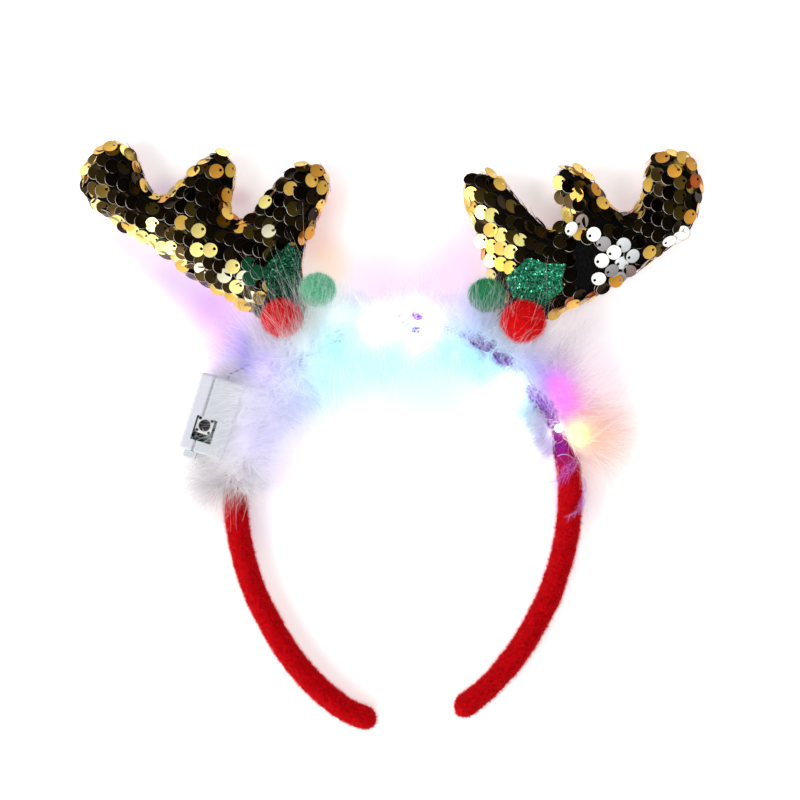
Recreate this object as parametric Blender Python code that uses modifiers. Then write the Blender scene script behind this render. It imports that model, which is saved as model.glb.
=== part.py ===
"""Reindeer antler headband with a lit fur trim and a battery case, lying on its back.

X runs across the head, Y up through the antlers and Z toward the sequinned front.
The band's arc has its centre at the origin of the assembly until the last step,
which sets the whole on the floor with the origin under the middle of its box.
"""

import math

import bmesh
import bpy
from mathutils import Matrix, Vector
from mathutils.bvhtree import BVHTree
from mathutils.geometry import delaunay_2d_cdt

# Gap between pieces that touch on the real headband
CLEARANCE = 0.0003

# Headband: an oval velour bar bent to the head
HEAD_RADIUS = 0.0603
LEG_DEPTH = 0.083
BAND_THICKNESS = 0.009
BAND_HEIGHT = 0.012
BAND_RISE = 0.0025
BAND_STEP = 0.005
LEFT_TIP_REACH = 0.009
RIGHT_TIP_REACH = 0.0184

# Fur trim: a sleeve of marabou round the band
FUR_LEFT_ANGLE = math.radians(89)
FUR_RIGHT_ANGLE = math.radians(75)
FLUFF_OUTWARD = 0.0125
FLUFF_INWARD = 0.0132
FLUFF_TOP = 0.0095
FUR_STEP = 0.0046
FUR_SIDES = 18
LOCK_DEPTH = 0.3

# Antlers: stuffed pillows sewn to the band
ANTLER_ANGLE = math.radians(34)
ANTLER_THICKNESS = 0.0195
ANTLER_ROLL = 0.014
ANTLER_ROOT_WIDTH = 0.014
ANTLER_MESH_STEP = 0.0046
EDGE_INSET = 0.0013
NECK_LENGTH = 0.022
NECK_THINNING = 0.5
LEFT_ANTLER_SPAN = 0.0798
LEFT_ANTLER_RISE = 0.0727
RIGHT_ANTLER_SPAN = 0.0719
RIGHT_ANTLER_RISE = 0.0689

# Holly leaves and berries at the foot of each antler
LEAF_THICKNESS = 0.002
RIGHT_LEAF_LENGTH = 0.0212
RIGHT_LEAF_WIDTH = 0.0176
LEFT_LEAF_LENGTH = 0.0142
LEFT_LEAF_WIDTH = 0.019
RED_RIGHT_DIAMETER = 0.016
RED_LEFT_DIAMETER = 0.0145
GREEN_DIAMETER = 0.013
BERRY_LOCK_DEPTH = 0.1

# Lights
LED_DIAMETER = 0.003
LEAD_DIAMETER = 0.0008
LEAD_OUT = 0.007
LEAD_HEIGHT = 0.015
LEAD_BEND = 0.0017

# Battery case, in its own frame: out from the band, along the band, up from the floor
CASE_ANGLE = math.radians(72.7)
CASE_TOWARD_TIP = 0.0085
CASE_LENGTH = 0.0279
CASE_DEPTH = 0.0163
CASE_HEIGHT = 0.024
CASE_WALL = 0.0012
CASE_EDGE_RADIUS = 0.0008
LID_DEPTH = 0.005
LEDGE_DEPTH = 0.0015
WINDOW_OUT = 0.0095
WINDOW_ALONG = 0.0
WINDOW_WIDTH = 0.0076
WINDOW_LENGTH = 0.0088
BOARD_THICKNESS = 0.0012
SWITCH_OUT = 0.0098
SWITCH_ALONG = -0.0015
SWITCH_SIZE = 0.006
SWITCH_HEIGHT = 0.0035
BUTTON_DIAMETER = 0.0035
BUTTON_PROUD = 0.0012
BUTTON_DEPTH = 0.0012
BUTTON_TRAVEL = 0.00025

# Bend of a leg below the arc, as shares of the head radius and of the leg depth
LEG_BEND = (
    # reach, drop
    (1.000, 0.000),
    (0.993, 0.130),
    (0.970, 0.239),
    (0.931, 0.347),
    (0.878, 0.456),
    (0.784, 0.588),
    (0.708, 0.683),
    (0.624, 0.766),
    (0.525, 0.845),
    (0.421, 0.912),
    (0.328, 0.960),
    (0.209, 0.994),
    (0.140, 1.000),
)

# Fur from its left end to its right one: place, and shares of the three fluff lengths
FUR_FORM = (
    # along, outward, inward, top
    (0.00, 0.25, 0.25, 0.30),
    (0.03, 0.80, 0.75, 0.70),
    (0.10, 1.05, 1.00, 0.85),
    (0.30, 0.80, 1.05, 1.00),
    (0.50, 0.75, 1.00, 1.05),
    (0.66, 0.80, 0.95, 1.00),
    (0.78, 1.10, 0.50, 0.95),
    (0.90, 1.40, 0.18, 0.90),
    (0.97, 1.20, 0.12, 0.70),
    (1.00, 0.30, 0.10, 0.25),
)
# How far each lock of the fur stands out in turn
LOCK_HEIGHTS = (1.0, 0.35, 0.75, 0.1, 0.9, 0.5, 0.2)

# Outlines from the root's inner corner round the three tines to its outer corner,
# as shares of the antler's span away from the head's middle and of its rise
LEFT_ANTLER = (
    # across, up
    (-0.010, 0.398),
    (-0.066, 0.569),
    (-0.131, 0.739),
    (-0.130, 0.845),
    (-0.060, 0.884),
    (0.040, 0.868),
    (0.125, 0.777),
    (0.210, 0.650),
    (0.283, 0.606),
    (0.318, 0.655),
    (0.300, 0.770),
    (0.292, 0.880),
    (0.350, 0.936),
    (0.430, 0.918),
    (0.542, 0.819),
    (0.610, 0.735),
    (0.652, 0.722),
    (0.700, 0.810),
    (0.745, 0.940),
    (0.835, 1.000),
    (0.925, 0.950),
    (0.988, 0.870),
    (0.996, 0.770),
    (0.940, 0.672),
    (0.800, 0.548),
    (0.650, 0.432),
    (0.470, 0.285),
    (0.283, 0.170),
    (0.160, 0.092),
)
RIGHT_ANTLER = (
    # across, up
    (-0.070, 0.329),
    (-0.110, 0.450),
    (-0.150, 0.580),
    (-0.199, 0.712),
    (-0.214, 0.800),
    (-0.190, 0.880),
    (-0.110, 0.897),
    (-0.010, 0.845),
    (0.099, 0.720),
    (0.200, 0.608),
    (0.268, 0.584),
    (0.300, 0.640),
    (0.284, 0.720),
    (0.250, 0.830),
    (0.262, 0.905),
    (0.320, 0.928),
    (0.419, 0.875),
    (0.500, 0.775),
    (0.575, 0.682),
    (0.650, 0.688),
    (0.691, 0.786),
    (0.715, 0.930),
    (0.760, 0.998),
    (0.880, 0.993),
    (0.965, 0.938),
    (1.000, 0.825),
    (0.985, 0.700),
    (0.930, 0.564),
    (0.800, 0.455),
    (0.640, 0.335),
    (0.510, 0.258),
    (0.374, 0.188),
    (0.224, 0.114),
)

# Leaf outlines about the leaf's middle, as shares of its length and width
RIGHT_LEAF = (
    # across, up
    (-0.15, 0.49),
    (0.17, 0.37),
    (0.48, 0.36),
    (0.42, 0.08),
    (0.42, -0.18),
    (0.22, -0.35),
    (0.10, -0.51),
    (-0.18, -0.42),
    (-0.40, -0.30),
    (-0.53, 0.06),
    (-0.36, 0.27),
)
LEFT_LEAF = (
    # across, up
    (0.16, 0.55),
    (0.48, 0.38),
    (0.43, 0.12),
    (0.47, -0.10),
    (0.31, -0.45),
    (-0.05, -0.40),
    (-0.40, -0.45),
    (-0.42, -0.20),
    (-0.53, 0.04),
    (-0.21, 0.32),
)

# Dressing of an antler: places from its foot, as shares of its span and of its rise
LEAF_PLACES = {
    # across, up
    "right": (0.160, 0.303),
    "left": (0.080, 0.332),
}
RED_PLACES = {
    # across, up
    "right": (0.088, 0.097),
    "left": (0.085, 0.109),
}
GREEN_PLACES = {
    # across, up
    "right": (-0.090, 0.235),
    "left": (-0.075, 0.248),
}

# Lights: angle along the arc and seat on the band, 0 outside, 90 on the front, 180 inside
LED_SEATS = (
    # along, seat
    (-48.5, 0),
    (-20.0, 0),
    (-8.0, 90),
    (4.0, 0),
    (9.0, 90),
    (5.0, 180),
    (46.0, 180),
    (58.0, 0),
    (68.0, 90),
    (70.0, 0),
)


def clear_scene():
    for thing in list(bpy.data.objects):
        bpy.data.objects.remove(thing, do_unlink=True)


def make_collection(name):
    collection = bpy.data.collections.new(name)
    bpy.context.scene.collection.children.link(collection)
    return collection


def make_material(name, colour, roughness, metallic=0.0, glow=0.0):
    material = bpy.data.materials.new(name)
    material.use_nodes = True
    shader = material.node_tree.nodes["Principled BSDF"]
    shader.inputs["Base Color"].default_value = (*colour, 1.0)
    shader.inputs["Roughness"].default_value = roughness
    shader.inputs["Metallic"].default_value = metallic
    shader.inputs["Emission Color"].default_value = (*colour, 1.0)
    shader.inputs["Emission Strength"].default_value = glow
    return material


def smooth_through(points, per_span):
    """Catmull-Rom curve through 2D or 3D points, open at its ends."""
    padded = [2 * points[0] - points[1], *points, 2 * points[-1] - points[-2]]
    curve = []
    for i in range(1, len(padded) - 2):
        before, start, end, after = padded[i - 1 : i + 3]
        for k in range(per_span):
            t = k / per_span
            curve.append(
                0.5
                * (
                    2 * start
                    + (end - before) * t
                    + (2 * before - 5 * start + 4 * end - after) * t * t
                    + (3 * start - before - 3 * end + after) * t * t * t
                )
            )
    curve.append(padded[-2].copy())
    return curve


def path_length(points):
    return sum((b - a).length for a, b in zip(points, points[1:]))


def point_along(points, distance):
    for start, end in zip(points, points[1:]):
        step = (end - start).length
        if distance <= step:
            return start.lerp(end, distance / step)
        distance -= step
    return points[-1].copy()


def step_through(value, rows, column):
    """Value of a table's column at a place given by its first column, eased."""
    for low, high in zip(rows, rows[1:]):
        if value <= high[0]:
            share = (value - low[0]) / (high[0] - low[0])
            share = share * share * (3 - 2 * share)
            return low[column] + (high[column] - low[column]) * share
    return rows[-1][column]


def band_lie(y):
    """Height of the band's centreline above the floor: its tips lie on the floor."""
    share = (y + LEG_DEPTH) / (HEAD_RADIUS + LEG_DEPTH)
    return BAND_HEIGHT / 2 + BAND_RISE * share


def arc_point(angle, out=0.0):
    """Point at an angle from the top of the arc, beyond its centreline by out."""
    radius = HEAD_RADIUS + out
    y = radius * math.cos(angle)
    return Vector((radius * math.sin(angle), y, band_lie(y)))


def leg_path(side, tip_reach):
    bend = [Vector((side * reach * HEAD_RADIUS, -drop * LEG_DEPTH)) for reach, drop in LEG_BEND]
    return [point for point in smooth_through(bend, 6) if abs(point.x) > tip_reach]


def band_path():
    arc = []
    for degrees in range(-88, 90, 2):
        angle = math.radians(degrees)
        arc.append(Vector((HEAD_RADIUS * math.sin(angle), HEAD_RADIUS * math.cos(angle))))
    left = leg_path(-1, LEFT_TIP_REACH)
    right = leg_path(1, RIGHT_TIP_REACH)
    return list(reversed(left)) + arc + right


def new_object(name, mesh, collection, parent, material=None):
    thing = bpy.data.objects.new(name, mesh)
    collection.objects.link(thing)
    thing.parent = parent
    if material:
        mesh.materials.append(material)
    return thing


def mesh_from(work, name):
    mesh = bpy.data.meshes.new(name)
    bmesh.ops.recalc_face_normals(work, faces=work.faces)
    work.to_mesh(mesh)
    work.free()
    mesh.shade_smooth()
    mesh.set_sharp_from_angle(angle=math.radians(40))
    return mesh


def curve_to_mesh(curve, name):
    """Mesh of a curve's evaluated surface, with its caps welded."""
    guide = bpy.data.objects.new(name + "_guide", curve)
    bpy.context.scene.collection.objects.link(guide)
    bpy.context.view_layer.update()
    evaluated = guide.evaluated_get(bpy.context.evaluated_depsgraph_get())
    mesh = bpy.data.meshes.new_from_object(evaluated)
    bpy.data.objects.remove(guide, do_unlink=True)
    work = bmesh.new()
    work.from_mesh(mesh)
    bmesh.ops.remove_doubles(work, verts=work.verts, dist=1e-6)
    return mesh_from(work, name)


def tube_mesh(name, points, radius, sides_setting, tapers=None):
    curve = bpy.data.curves.new(name, "CURVE")
    curve.dimensions = "3D"
    curve.bevel_depth = radius
    curve.bevel_resolution = sides_setting
    curve.use_fill_caps = True
    spline = curve.splines.new("POLY")
    spline.points.add(len(points) - 1)
    for i, point in enumerate(points):
        spline.points[i].co = (*point, 1.0)
        spline.points[i].radius = tapers[i] if tapers else 1.0
    return curve_to_mesh(curve, name)


def as_cutter(thing):
    thing.hide_render = True
    thing.display_type = "WIRE"
    return thing


def cut(thing, cutter):
    modifier = thing.modifiers.new("cut_" + cutter.name, "BOOLEAN")
    modifier.operation = "DIFFERENCE"
    modifier.object = cutter


def world_tree(things):
    """Search tree of the finished surfaces of some objects, in world space."""
    bpy.context.view_layer.update()
    graph = bpy.context.evaluated_depsgraph_get()
    corners = []
    faces = []
    for thing in things:
        evaluated = thing.evaluated_get(graph)
        mesh = evaluated.to_mesh()
        first = len(corners)
        corners += [thing.matrix_world @ vertex.co for vertex in mesh.vertices]
        faces += [[first + index for index in face.vertices] for face in mesh.polygons]
        evaluated.to_mesh_clear()
    return BVHTree.FromPolygons(corners, faces)


def outline_distance(point, outline):
    nearest = math.inf
    for start, end in zip(outline, outline[1:] + outline[:1]):
        run = end - start
        share = max(0.0, min(1.0, (point - start).dot(run) / run.length_squared))
        nearest = min(nearest, (point - start - run * share).length)
    return nearest


def inside_outline(point, outline):
    inside = False
    for a, b in zip(outline, outline[1:] + outline[:1]):
        if (a.y > point.y) != (b.y > point.y):
            if point.x < a.x + (point.y - a.y) / (b.y - a.y) * (b.x - a.x):
                inside = not inside
    return inside


def offset_outline(outline, distance):
    """Outline moved outward by a distance, or inward by a negative one."""
    area = sum(a.x * b.y - b.x * a.y for a, b in zip(outline, outline[1:] + outline[:1]))
    turn = 1 if area > 0 else -1
    moved = []
    for i, point in enumerate(outline):
        run = (outline[(i + 1) % len(outline)] - outline[i - 1]).normalized()
        moved.append(point + Vector((run.y, -run.x)) * distance * turn)
    return moved


def make_headband(parts, root, material):
    path = band_path()
    total = path_length(path)
    tip = BAND_THICKNESS / 2
    tip_shares = (0.02, 0.14, 0.36, 0.66)
    count = round((total - 2 * tip) / BAND_STEP)
    distances = [share * tip for share in tip_shares]
    distances += [tip + (total - 2 * tip) * i / count for i in range(count + 1)]
    distances += [total - share * tip for share in reversed(tip_shares)]
    points = []
    tapers = []
    for distance in distances:
        flat = point_along(path, distance)
        points.append((flat.x, flat.y, 0.0))
        inset = 1 - min(distance, total - distance, tip) / tip
        tapers.append(math.sqrt(max(0.0, 1 - inset * inset)))
    mesh = tube_mesh("headband", points, BAND_THICKNESS / 2, 4, tapers)
    # The round tube becomes an oval one and leans up toward the arch
    lean = Matrix.Identity(4)
    lean[2][2] = BAND_HEIGHT / BAND_THICKNESS
    lean[2][1] = band_lie(1.0) - band_lie(0.0)
    lean[2][3] = band_lie(0.0)
    mesh.transform(lean)
    return new_object("headband", mesh, parts, root, material)


def fur_section(angle, along, station):
    """Outer ring of the fur at one station, with its locks and its flat underside."""
    middle = arc_point(angle)
    outward = Vector((math.sin(angle), math.cos(angle), 0))
    side_core = BAND_THICKNESS / 2 + CLEARANCE
    top_core = BAND_HEIGHT / 2 + CLEARANCE
    ring = []
    for side in range(FUR_SIDES):
        turn = 2 * math.pi * side / FUR_SIDES
        lock = LOCK_HEIGHTS[(station * 3 + side * 2) % len(LOCK_HEIGHTS)]
        proud = 1 - LOCK_DEPTH + 1.5 * LOCK_DEPTH * lock
        if math.cos(turn) > 0:
            reach = side_core + proud * FLUFF_OUTWARD * step_through(along, FUR_FORM, 1)
        else:
            reach = side_core + proud * FLUFF_INWARD * step_through(along, FUR_FORM, 2)
        rise = top_core + proud * FLUFF_TOP * step_through(along, FUR_FORM, 3)
        if math.sin(turn) < 0:
            rise = 1.3 * middle.z
        point = middle + outward * reach * math.cos(turn)
        point.z = max(0.0, middle.z + rise * math.sin(turn))
        ring.append(point)
    return ring


def channel_section(angle):
    """Inner ring of the fur at one station, which the band passes through."""
    middle = arc_point(angle)
    outward = Vector((math.sin(angle), math.cos(angle), 0))
    ring = []
    for side in range(FUR_SIDES):
        turn = 2 * math.pi * side / FUR_SIDES
        reach = (BAND_THICKNESS / 2 + CLEARANCE) / math.cos(math.pi / FUR_SIDES)
        rise = (BAND_HEIGHT / 2 + CLEARANCE) / math.cos(math.pi / FUR_SIDES)
        point = middle + outward * reach * math.cos(turn)
        point.z += rise * math.sin(turn)
        ring.append(point)
    return ring


def make_fur(parts, root, material):
    sweep = FUR_LEFT_ANGLE + FUR_RIGHT_ANGLE
    count = 2 * round(sweep * HEAD_RADIUS / FUR_STEP / 2)
    rings = []
    for station in range(count + 1):
        along = station / count
        rings.append(fur_section(sweep * along - FUR_LEFT_ANGLE, along, station))
    for station in range(count, -1, -2):
        rings.append(channel_section(sweep * station / count - FUR_LEFT_ANGLE))
    work = bmesh.new()
    rows = [[work.verts.new(point) for point in ring] for ring in rings]
    for row, after in zip(rows, rows[1:] + rows[:1]):
        for i in range(FUR_SIDES):
            k = (i + 1) % FUR_SIDES
            work.faces.new((row[i], row[k], after[k], after[i]))
    bmesh.ops.triangulate(work, faces=work.faces)
    return new_object("fur_trim", mesh_from(work, "fur_trim"), parts, root, material)


def antler_outline(side, table, span, rise):
    """Closed outline of an antler, its straight root edge against the band."""
    angle = side * ANTLER_ANGLE
    foot = arc_point(angle, BAND_THICKNESS / 2 + CLEARANCE).xy
    along_band = Vector((math.cos(angle), -math.sin(angle))) * side
    inner = foot - along_band * ANTLER_ROOT_WIDTH / 2
    outer = foot + along_band * ANTLER_ROOT_WIDTH / 2
    knots = [inner]
    knots += [foot + Vector((side * across * span, up * rise)) for across, up in table]
    knots += [outer]
    outline = smooth_through(knots, 2)
    outline += [outer.lerp(inner, share) for share in (0.25, 0.5, 0.75)]
    return outline, foot


def dome_height(point, outline, foot):
    """Half the pillow's thickness at a point: a round edge, thinner toward its root."""
    inset = 1 - min(outline_distance(point, outline), ANTLER_ROLL) / ANTLER_ROLL
    neck = min(1.0, (point - foot).length / NECK_LENGTH)
    neck = neck * neck * (3 - 2 * neck)
    fullness = NECK_THINNING + (1 - NECK_THINNING) * neck
    return ANTLER_THICKNESS / 2 * math.sqrt(1 - inset * inset) * fullness


def pillow_mesh(name, outline, foot, grow=0.0):
    """Front half of a stuffed pillow, open at the seam plane, grown for a cutter."""
    seam = offset_outline(outline, grow)
    roll = offset_outline(outline, -EDGE_INSET)
    low_x = min(point.x for point in outline)
    high_x = max(point.x for point in outline)
    low_y = min(point.y for point in outline)
    high_y = max(point.y for point in outline)
    row_height = ANTLER_MESH_STEP * math.sqrt(3) / 2
    filling = []
    for row in range(int((high_y - low_y) / row_height) + 1):
        for column in range(int((high_x - low_x) / ANTLER_MESH_STEP) + 2):
            x = low_x + (column + 0.5 * (row % 2)) * ANTLER_MESH_STEP
            point = Vector((x, low_y + row * row_height))
            if inside_outline(point, outline):
                if outline_distance(point, outline) > 2.2 * EDGE_INSET:
                    filling.append(point)
    flat = seam + roll + filling
    edges = [(i, (i + 1) % len(seam)) for i in range(len(seam))]
    corners, _, faces, sources, _, _ = delaunay_2d_cdt(flat, edges, [], 1, 1e-7)
    work = bmesh.new()
    verts = []
    for corner, source in zip(corners, sources):
        on_seam = source and source[0] < len(seam)
        height = 0.0 if on_seam else dome_height(corner, outline, foot) + grow
        verts.append(work.verts.new((corner.x, corner.y, height)))
    for face in faces:
        work.faces.new([verts[index] for index in face])
    for vertex in [v for v in work.verts if not v.link_faces]:
        work.verts.remove(vertex)
    mesh = bpy.data.meshes.new(name)
    for face in work.faces:
        face.normal_update()
        if face.normal.z < 0:
            face.normal_flip()
    work.to_mesh(mesh)
    work.free()
    mesh.shade_smooth()
    return mesh


def make_pillow(name, outline, foot, collection, root, material=None, grow=0.0):
    mesh = pillow_mesh(name, outline, foot, grow)
    pillow = new_object(name, mesh, collection, root, material)
    pillow.location.z = ANTLER_THICKNESS / 2
    mirror = pillow.modifiers.new("back_half", "MIRROR")
    mirror.use_axis = (False, False, True)
    mirror.merge_threshold = 0.00001
    return pillow


def leaf_mesh(name, outline, thickness):
    curve = bpy.data.curves.new(name, "CURVE")
    curve.dimensions = "2D"
    curve.fill_mode = "BOTH"
    curve.extrude = thickness / 2
    spline = curve.splines.new("POLY")
    spline.points.add(len(outline) - 1)
    for i, point in enumerate(outline):
        spline.points[i].co = (point.x, point.y, 0.0, 1.0)
    spline.use_cyclic_u = True
    return curve_to_mesh(curve, name)


def highest_under(tree, outline, place):
    """Top of what lies under an outline that is set down at a place."""
    high_z = HEAD_RADIUS
    steps = 12
    reach = max(point.length for point in outline)
    spacing = reach / steps
    best = 0.0
    for i in range(-steps, steps + 1):
        for k in range(-steps, steps + 1):
            local = Vector((i * spacing, k * spacing))
            if not inside_outline(local, outline):
                continue
            above = Vector((place[0] + local.x, place[1] + local.y, high_z))
            hit = tree.ray_cast(above, Vector((0, 0, -1)))[0]
            if hit:
                best = max(best, hit.z)
    return best


def make_leaf(name, table, length, width, place, antler, parts, cutters, root, material):
    outline = [Vector((across * length, up * width)) for across, up in table]
    seat = highest_under(world_tree([antler]), outline, place) + CLEARANCE
    leaf = new_object(name, leaf_mesh(name, outline, LEAF_THICKNESS), parts, root, material)
    leaf.location = (*place, seat + LEAF_THICKNESS / 2)
    wide = offset_outline(outline, CLEARANCE)
    space = leaf_mesh(name + "_space", wide, LEAF_THICKNESS + 2 * CLEARANCE)
    cutter = as_cutter(new_object(name + "_space", space, cutters, root))
    cutter.location = leaf.location
    return leaf, cutter


def ball_mesh(name, diameter, lock_depth, subdivisions=3):
    """Round head whose tufts stand out in turn up to the diameter."""
    work = bmesh.new()
    bmesh.ops.create_icosphere(work, subdivisions=subdivisions, radius=diameter / 2)
    for i, vertex in enumerate(work.verts):
        lock = LOCK_HEIGHTS[(i * 3) % len(LOCK_HEIGHTS)]
        vertex.co *= 1 - lock_depth * (1 - lock)
    return mesh_from(work, name)


def set_down(tree, place, radius):
    """Centre of a ball lowered onto a surface until only the clearance is left."""
    centre = Vector((*place, HEAD_RADIUS))
    for _ in range(200):
        gap = tree.find_nearest(centre)[3] - radius - CLEARANCE
        if gap < 1e-6:
            break
        centre.z -= gap
    return centre


def make_berry(name, place, diameter, carriers, parts, cutters, root, material):
    berry = new_object(
        name, ball_mesh(name, diameter, BERRY_LOCK_DEPTH), parts, root, material
    )
    berry.location = set_down(world_tree(carriers), place, diameter / 2)
    space = ball_mesh(name + "_space", diameter + 2 * CLEARANCE, 0.0)
    cutter = as_cutter(new_object(name + "_space", space, cutters, root))
    cutter.location = berry.location
    return berry, cutter


def led_place(along, seat):
    angle = math.radians(along)
    off = LED_DIAMETER / 2 + CLEARANCE
    middle = arc_point(angle)
    outward = Vector((math.sin(angle), math.cos(angle), 0))
    turn = math.radians(seat)
    side = outward * (BAND_THICKNESS / 2 + off) * math.cos(turn)
    up = Vector((0, 0, (BAND_HEIGHT / 2 + off) * math.sin(turn)))
    return middle + side + up


def make_leds(parts, cutters, root, material):
    spaces = []
    for number, (along, seat) in enumerate(LED_SEATS, start=1):
        name = f"led_{number}"
        bead = new_object(name, ball_mesh(name, LED_DIAMETER, 0.0, 2), parts, root, material)
        bead.location = led_place(along, seat)
        wide = LED_DIAMETER + 2 * CLEARANCE
        space = ball_mesh(name + "_space", wide, 0.0, 2)
        cutter = as_cutter(new_object(name + "_space", space, cutters, root))
        cutter.location = bead.location
        spaces.append(cutter)
    return spaces


def block_mesh(name, low, high):
    work = bmesh.new()
    bmesh.ops.create_cube(work, size=1.0)
    size = [b - a for a, b in zip(low, high)]
    middle = [(a + b) / 2 for a, b in zip(low, high)]
    bmesh.ops.scale(work, vec=size, verts=work.verts)
    bmesh.ops.translate(work, vec=middle, verts=work.verts)
    return mesh_from(work, name)


def make_block(name, low, high, collection, parent, material=None, round_edge=0.0):
    block = new_object(name, block_mesh(name, low, high), collection, parent, material)
    if round_edge:
        bevel = block.modifiers.new("rounded_edges", "BEVEL")
        bevel.width = round_edge
        bevel.segments = 2
    return block


def round_pin(name, radius, low_z, high_z, collection, parent, material=None):
    work = bmesh.new()
    bmesh.ops.create_cone(
        work, cap_ends=True, segments=20, radius1=radius, radius2=radius, depth=high_z - low_z
    )
    pin = new_object(name, mesh_from(work, name), collection, parent, material)
    pin.location = (SWITCH_OUT, SWITCH_ALONG, (low_z + high_z) / 2)
    return pin


def make_case_seat(root):
    """Frame of the battery case: X out from the band, Y toward the band's tip."""
    seat = bpy.data.objects.new("case_seat", None)
    bpy.context.scene.collection.objects.link(seat)
    seat.parent = root
    reach = HEAD_RADIUS + BAND_THICKNESS / 2
    seat.location = (-reach * math.sin(CASE_ANGLE), reach * math.cos(CASE_ANGLE), 0)
    seat.rotation_euler.z = math.pi / 2 + CASE_ANGLE
    return seat


def make_battery_case(parts, cutters, seat, white, board_green, steel, black):
    near = CASE_TOWARD_TIP - CASE_LENGTH
    far = CASE_TOWARD_TIP
    parting = CASE_DEPTH - LID_DEPTH
    beyond = CASE_DEPTH
    switch_top = CASE_HEIGHT - CASE_WALL - CLEARANCE
    board_top = switch_top - SWITCH_HEIGHT - CLEARANCE
    board_bottom = board_top - BOARD_THICKNESS
    ledge_top = board_bottom - CLEARANCE
    wall = CASE_WALL

    case = make_block(
        "battery_case",
        (CLEARANCE, near, 0),
        (parting - CLEARANCE / 2, far, CASE_HEIGHT),
        parts,
        seat,
        white,
        CASE_EDGE_RADIUS,
    )
    lid = make_block(
        "battery_lid",
        (parting + CLEARANCE / 2, near, 0),
        (CASE_DEPTH, far, CASE_HEIGHT),
        parts,
        seat,
        white,
        CASE_EDGE_RADIUS,
    )
    cell_space = make_block(
        "cell_space",
        (CLEARANCE + wall, near + wall + LEDGE_DEPTH, wall),
        (parting + beyond, far - wall - LEDGE_DEPTH, board_top),
        cutters,
        seat,
    )
    board_space = make_block(
        "board_space",
        (CLEARANCE + wall, near + wall, ledge_top),
        (parting + beyond, far - wall, CASE_HEIGHT - wall),
        cutters,
        seat,
    )
    lid_space = make_block(
        "lid_space",
        (parting - wall, near + wall, wall),
        (CASE_DEPTH - wall, far - wall, CASE_HEIGHT - wall),
        cutters,
        seat,
    )
    window = make_block(
        "switch_window",
        (WINDOW_OUT - WINDOW_WIDTH / 2, WINDOW_ALONG - WINDOW_LENGTH / 2, board_top),
        (WINDOW_OUT + WINDOW_WIDTH / 2, WINDOW_ALONG + WINDOW_LENGTH / 2, CASE_HEIGHT + beyond),
        cutters,
        seat,
    )
    for hollow in (cell_space, board_space, window):
        cut(case, as_cutter(hollow))
    for hollow in (lid_space, window):
        cut(lid, as_cutter(hollow))

    make_block(
        "circuit_board",
        (2 * CLEARANCE + wall, near + wall + CLEARANCE, board_bottom),
        (CASE_DEPTH - wall - CLEARANCE, far - wall - CLEARANCE, board_top),
        parts,
        seat,
        board_green,
    )
    half = SWITCH_SIZE / 2
    housing = make_block(
        "switch_housing",
        (SWITCH_OUT - half, SWITCH_ALONG - half, board_top + CLEARANCE),
        (SWITCH_OUT + half, SWITCH_ALONG + half, switch_top),
        parts,
        seat,
        steel,
    )
    bore_floor = switch_top - BUTTON_DEPTH - BUTTON_TRAVEL - CLEARANCE
    bore_radius = BUTTON_DIAMETER / 2 + CLEARANCE
    bore = round_pin("button_bore", bore_radius, bore_floor, CASE_HEIGHT * 1.5, cutters, seat)
    cut(housing, as_cutter(bore))
    round_pin(
        "switch_button",
        BUTTON_DIAMETER / 2,
        switch_top - BUTTON_DEPTH,
        switch_top + BUTTON_PROUD,
        parts,
        seat,
        black,
    )
    space = make_block(
        "case_space",
        (0.0, near - CLEARANCE, -beyond),
        (2 * CASE_DEPTH, far + CLEARANCE, CASE_HEIGHT + beyond),
        cutters,
        seat,
    )
    return as_cutter(space)


def make_lead(parts, cutters, root, seat, material):
    """Wire from the end wall of the battery case to the first light."""
    bpy.context.view_layer.update()
    near = CASE_TOWARD_TIP - CASE_LENGTH - CLEARANCE
    bead = led_place(*LED_SEATS[0])
    frame = seat.matrix_world
    bend = LEAD_BEND
    leave = frame @ Vector((LEAD_OUT, near, LEAD_HEIGHT))
    turn_up = frame @ Vector((LEAD_OUT, near - bend, LEAD_HEIGHT))
    bow = frame @ Vector((LEAD_OUT - bend, near - 2 * bend, LEAD_HEIGHT))
    outward = Vector((bead.x, bead.y, 0)).normalized()
    arrive = bead + outward * (LED_DIAMETER / 2 + CLEARANCE + LEAD_DIAMETER / 2)
    come_in = arrive + (outward + Vector((0, 0, 1))) * bend
    points = smooth_through([leave, turn_up, bow, come_in, arrive], 3)
    mesh = tube_mesh("led_lead", points, LEAD_DIAMETER / 2, 1)
    new_object("led_lead", mesh, parts, root, material)
    wide = LEAD_DIAMETER / 2 + CLEARANCE
    space = tube_mesh("led_lead_space", points, wide, 1)
    return as_cutter(new_object("led_lead_space", space, cutters, root))


def set_on_floor(root, parts):
    """Move the whole so that its box stands on the origin."""
    bpy.context.view_layer.update()
    graph = bpy.context.evaluated_depsgraph_get()
    low = Vector((math.inf,) * 3)
    high = Vector((-math.inf,) * 3)
    for thing in parts.objects:
        evaluated = thing.evaluated_get(graph)
        mesh = evaluated.to_mesh()
        for vertex in mesh.vertices:
            point = thing.matrix_world @ vertex.co
            low = Vector(map(min, low, point))
            high = Vector(map(max, high, point))
        evaluated.to_mesh_clear()
    root.location = (-(low.x + high.x) / 2, -(low.y + high.y) / 2, -low.z)


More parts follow.
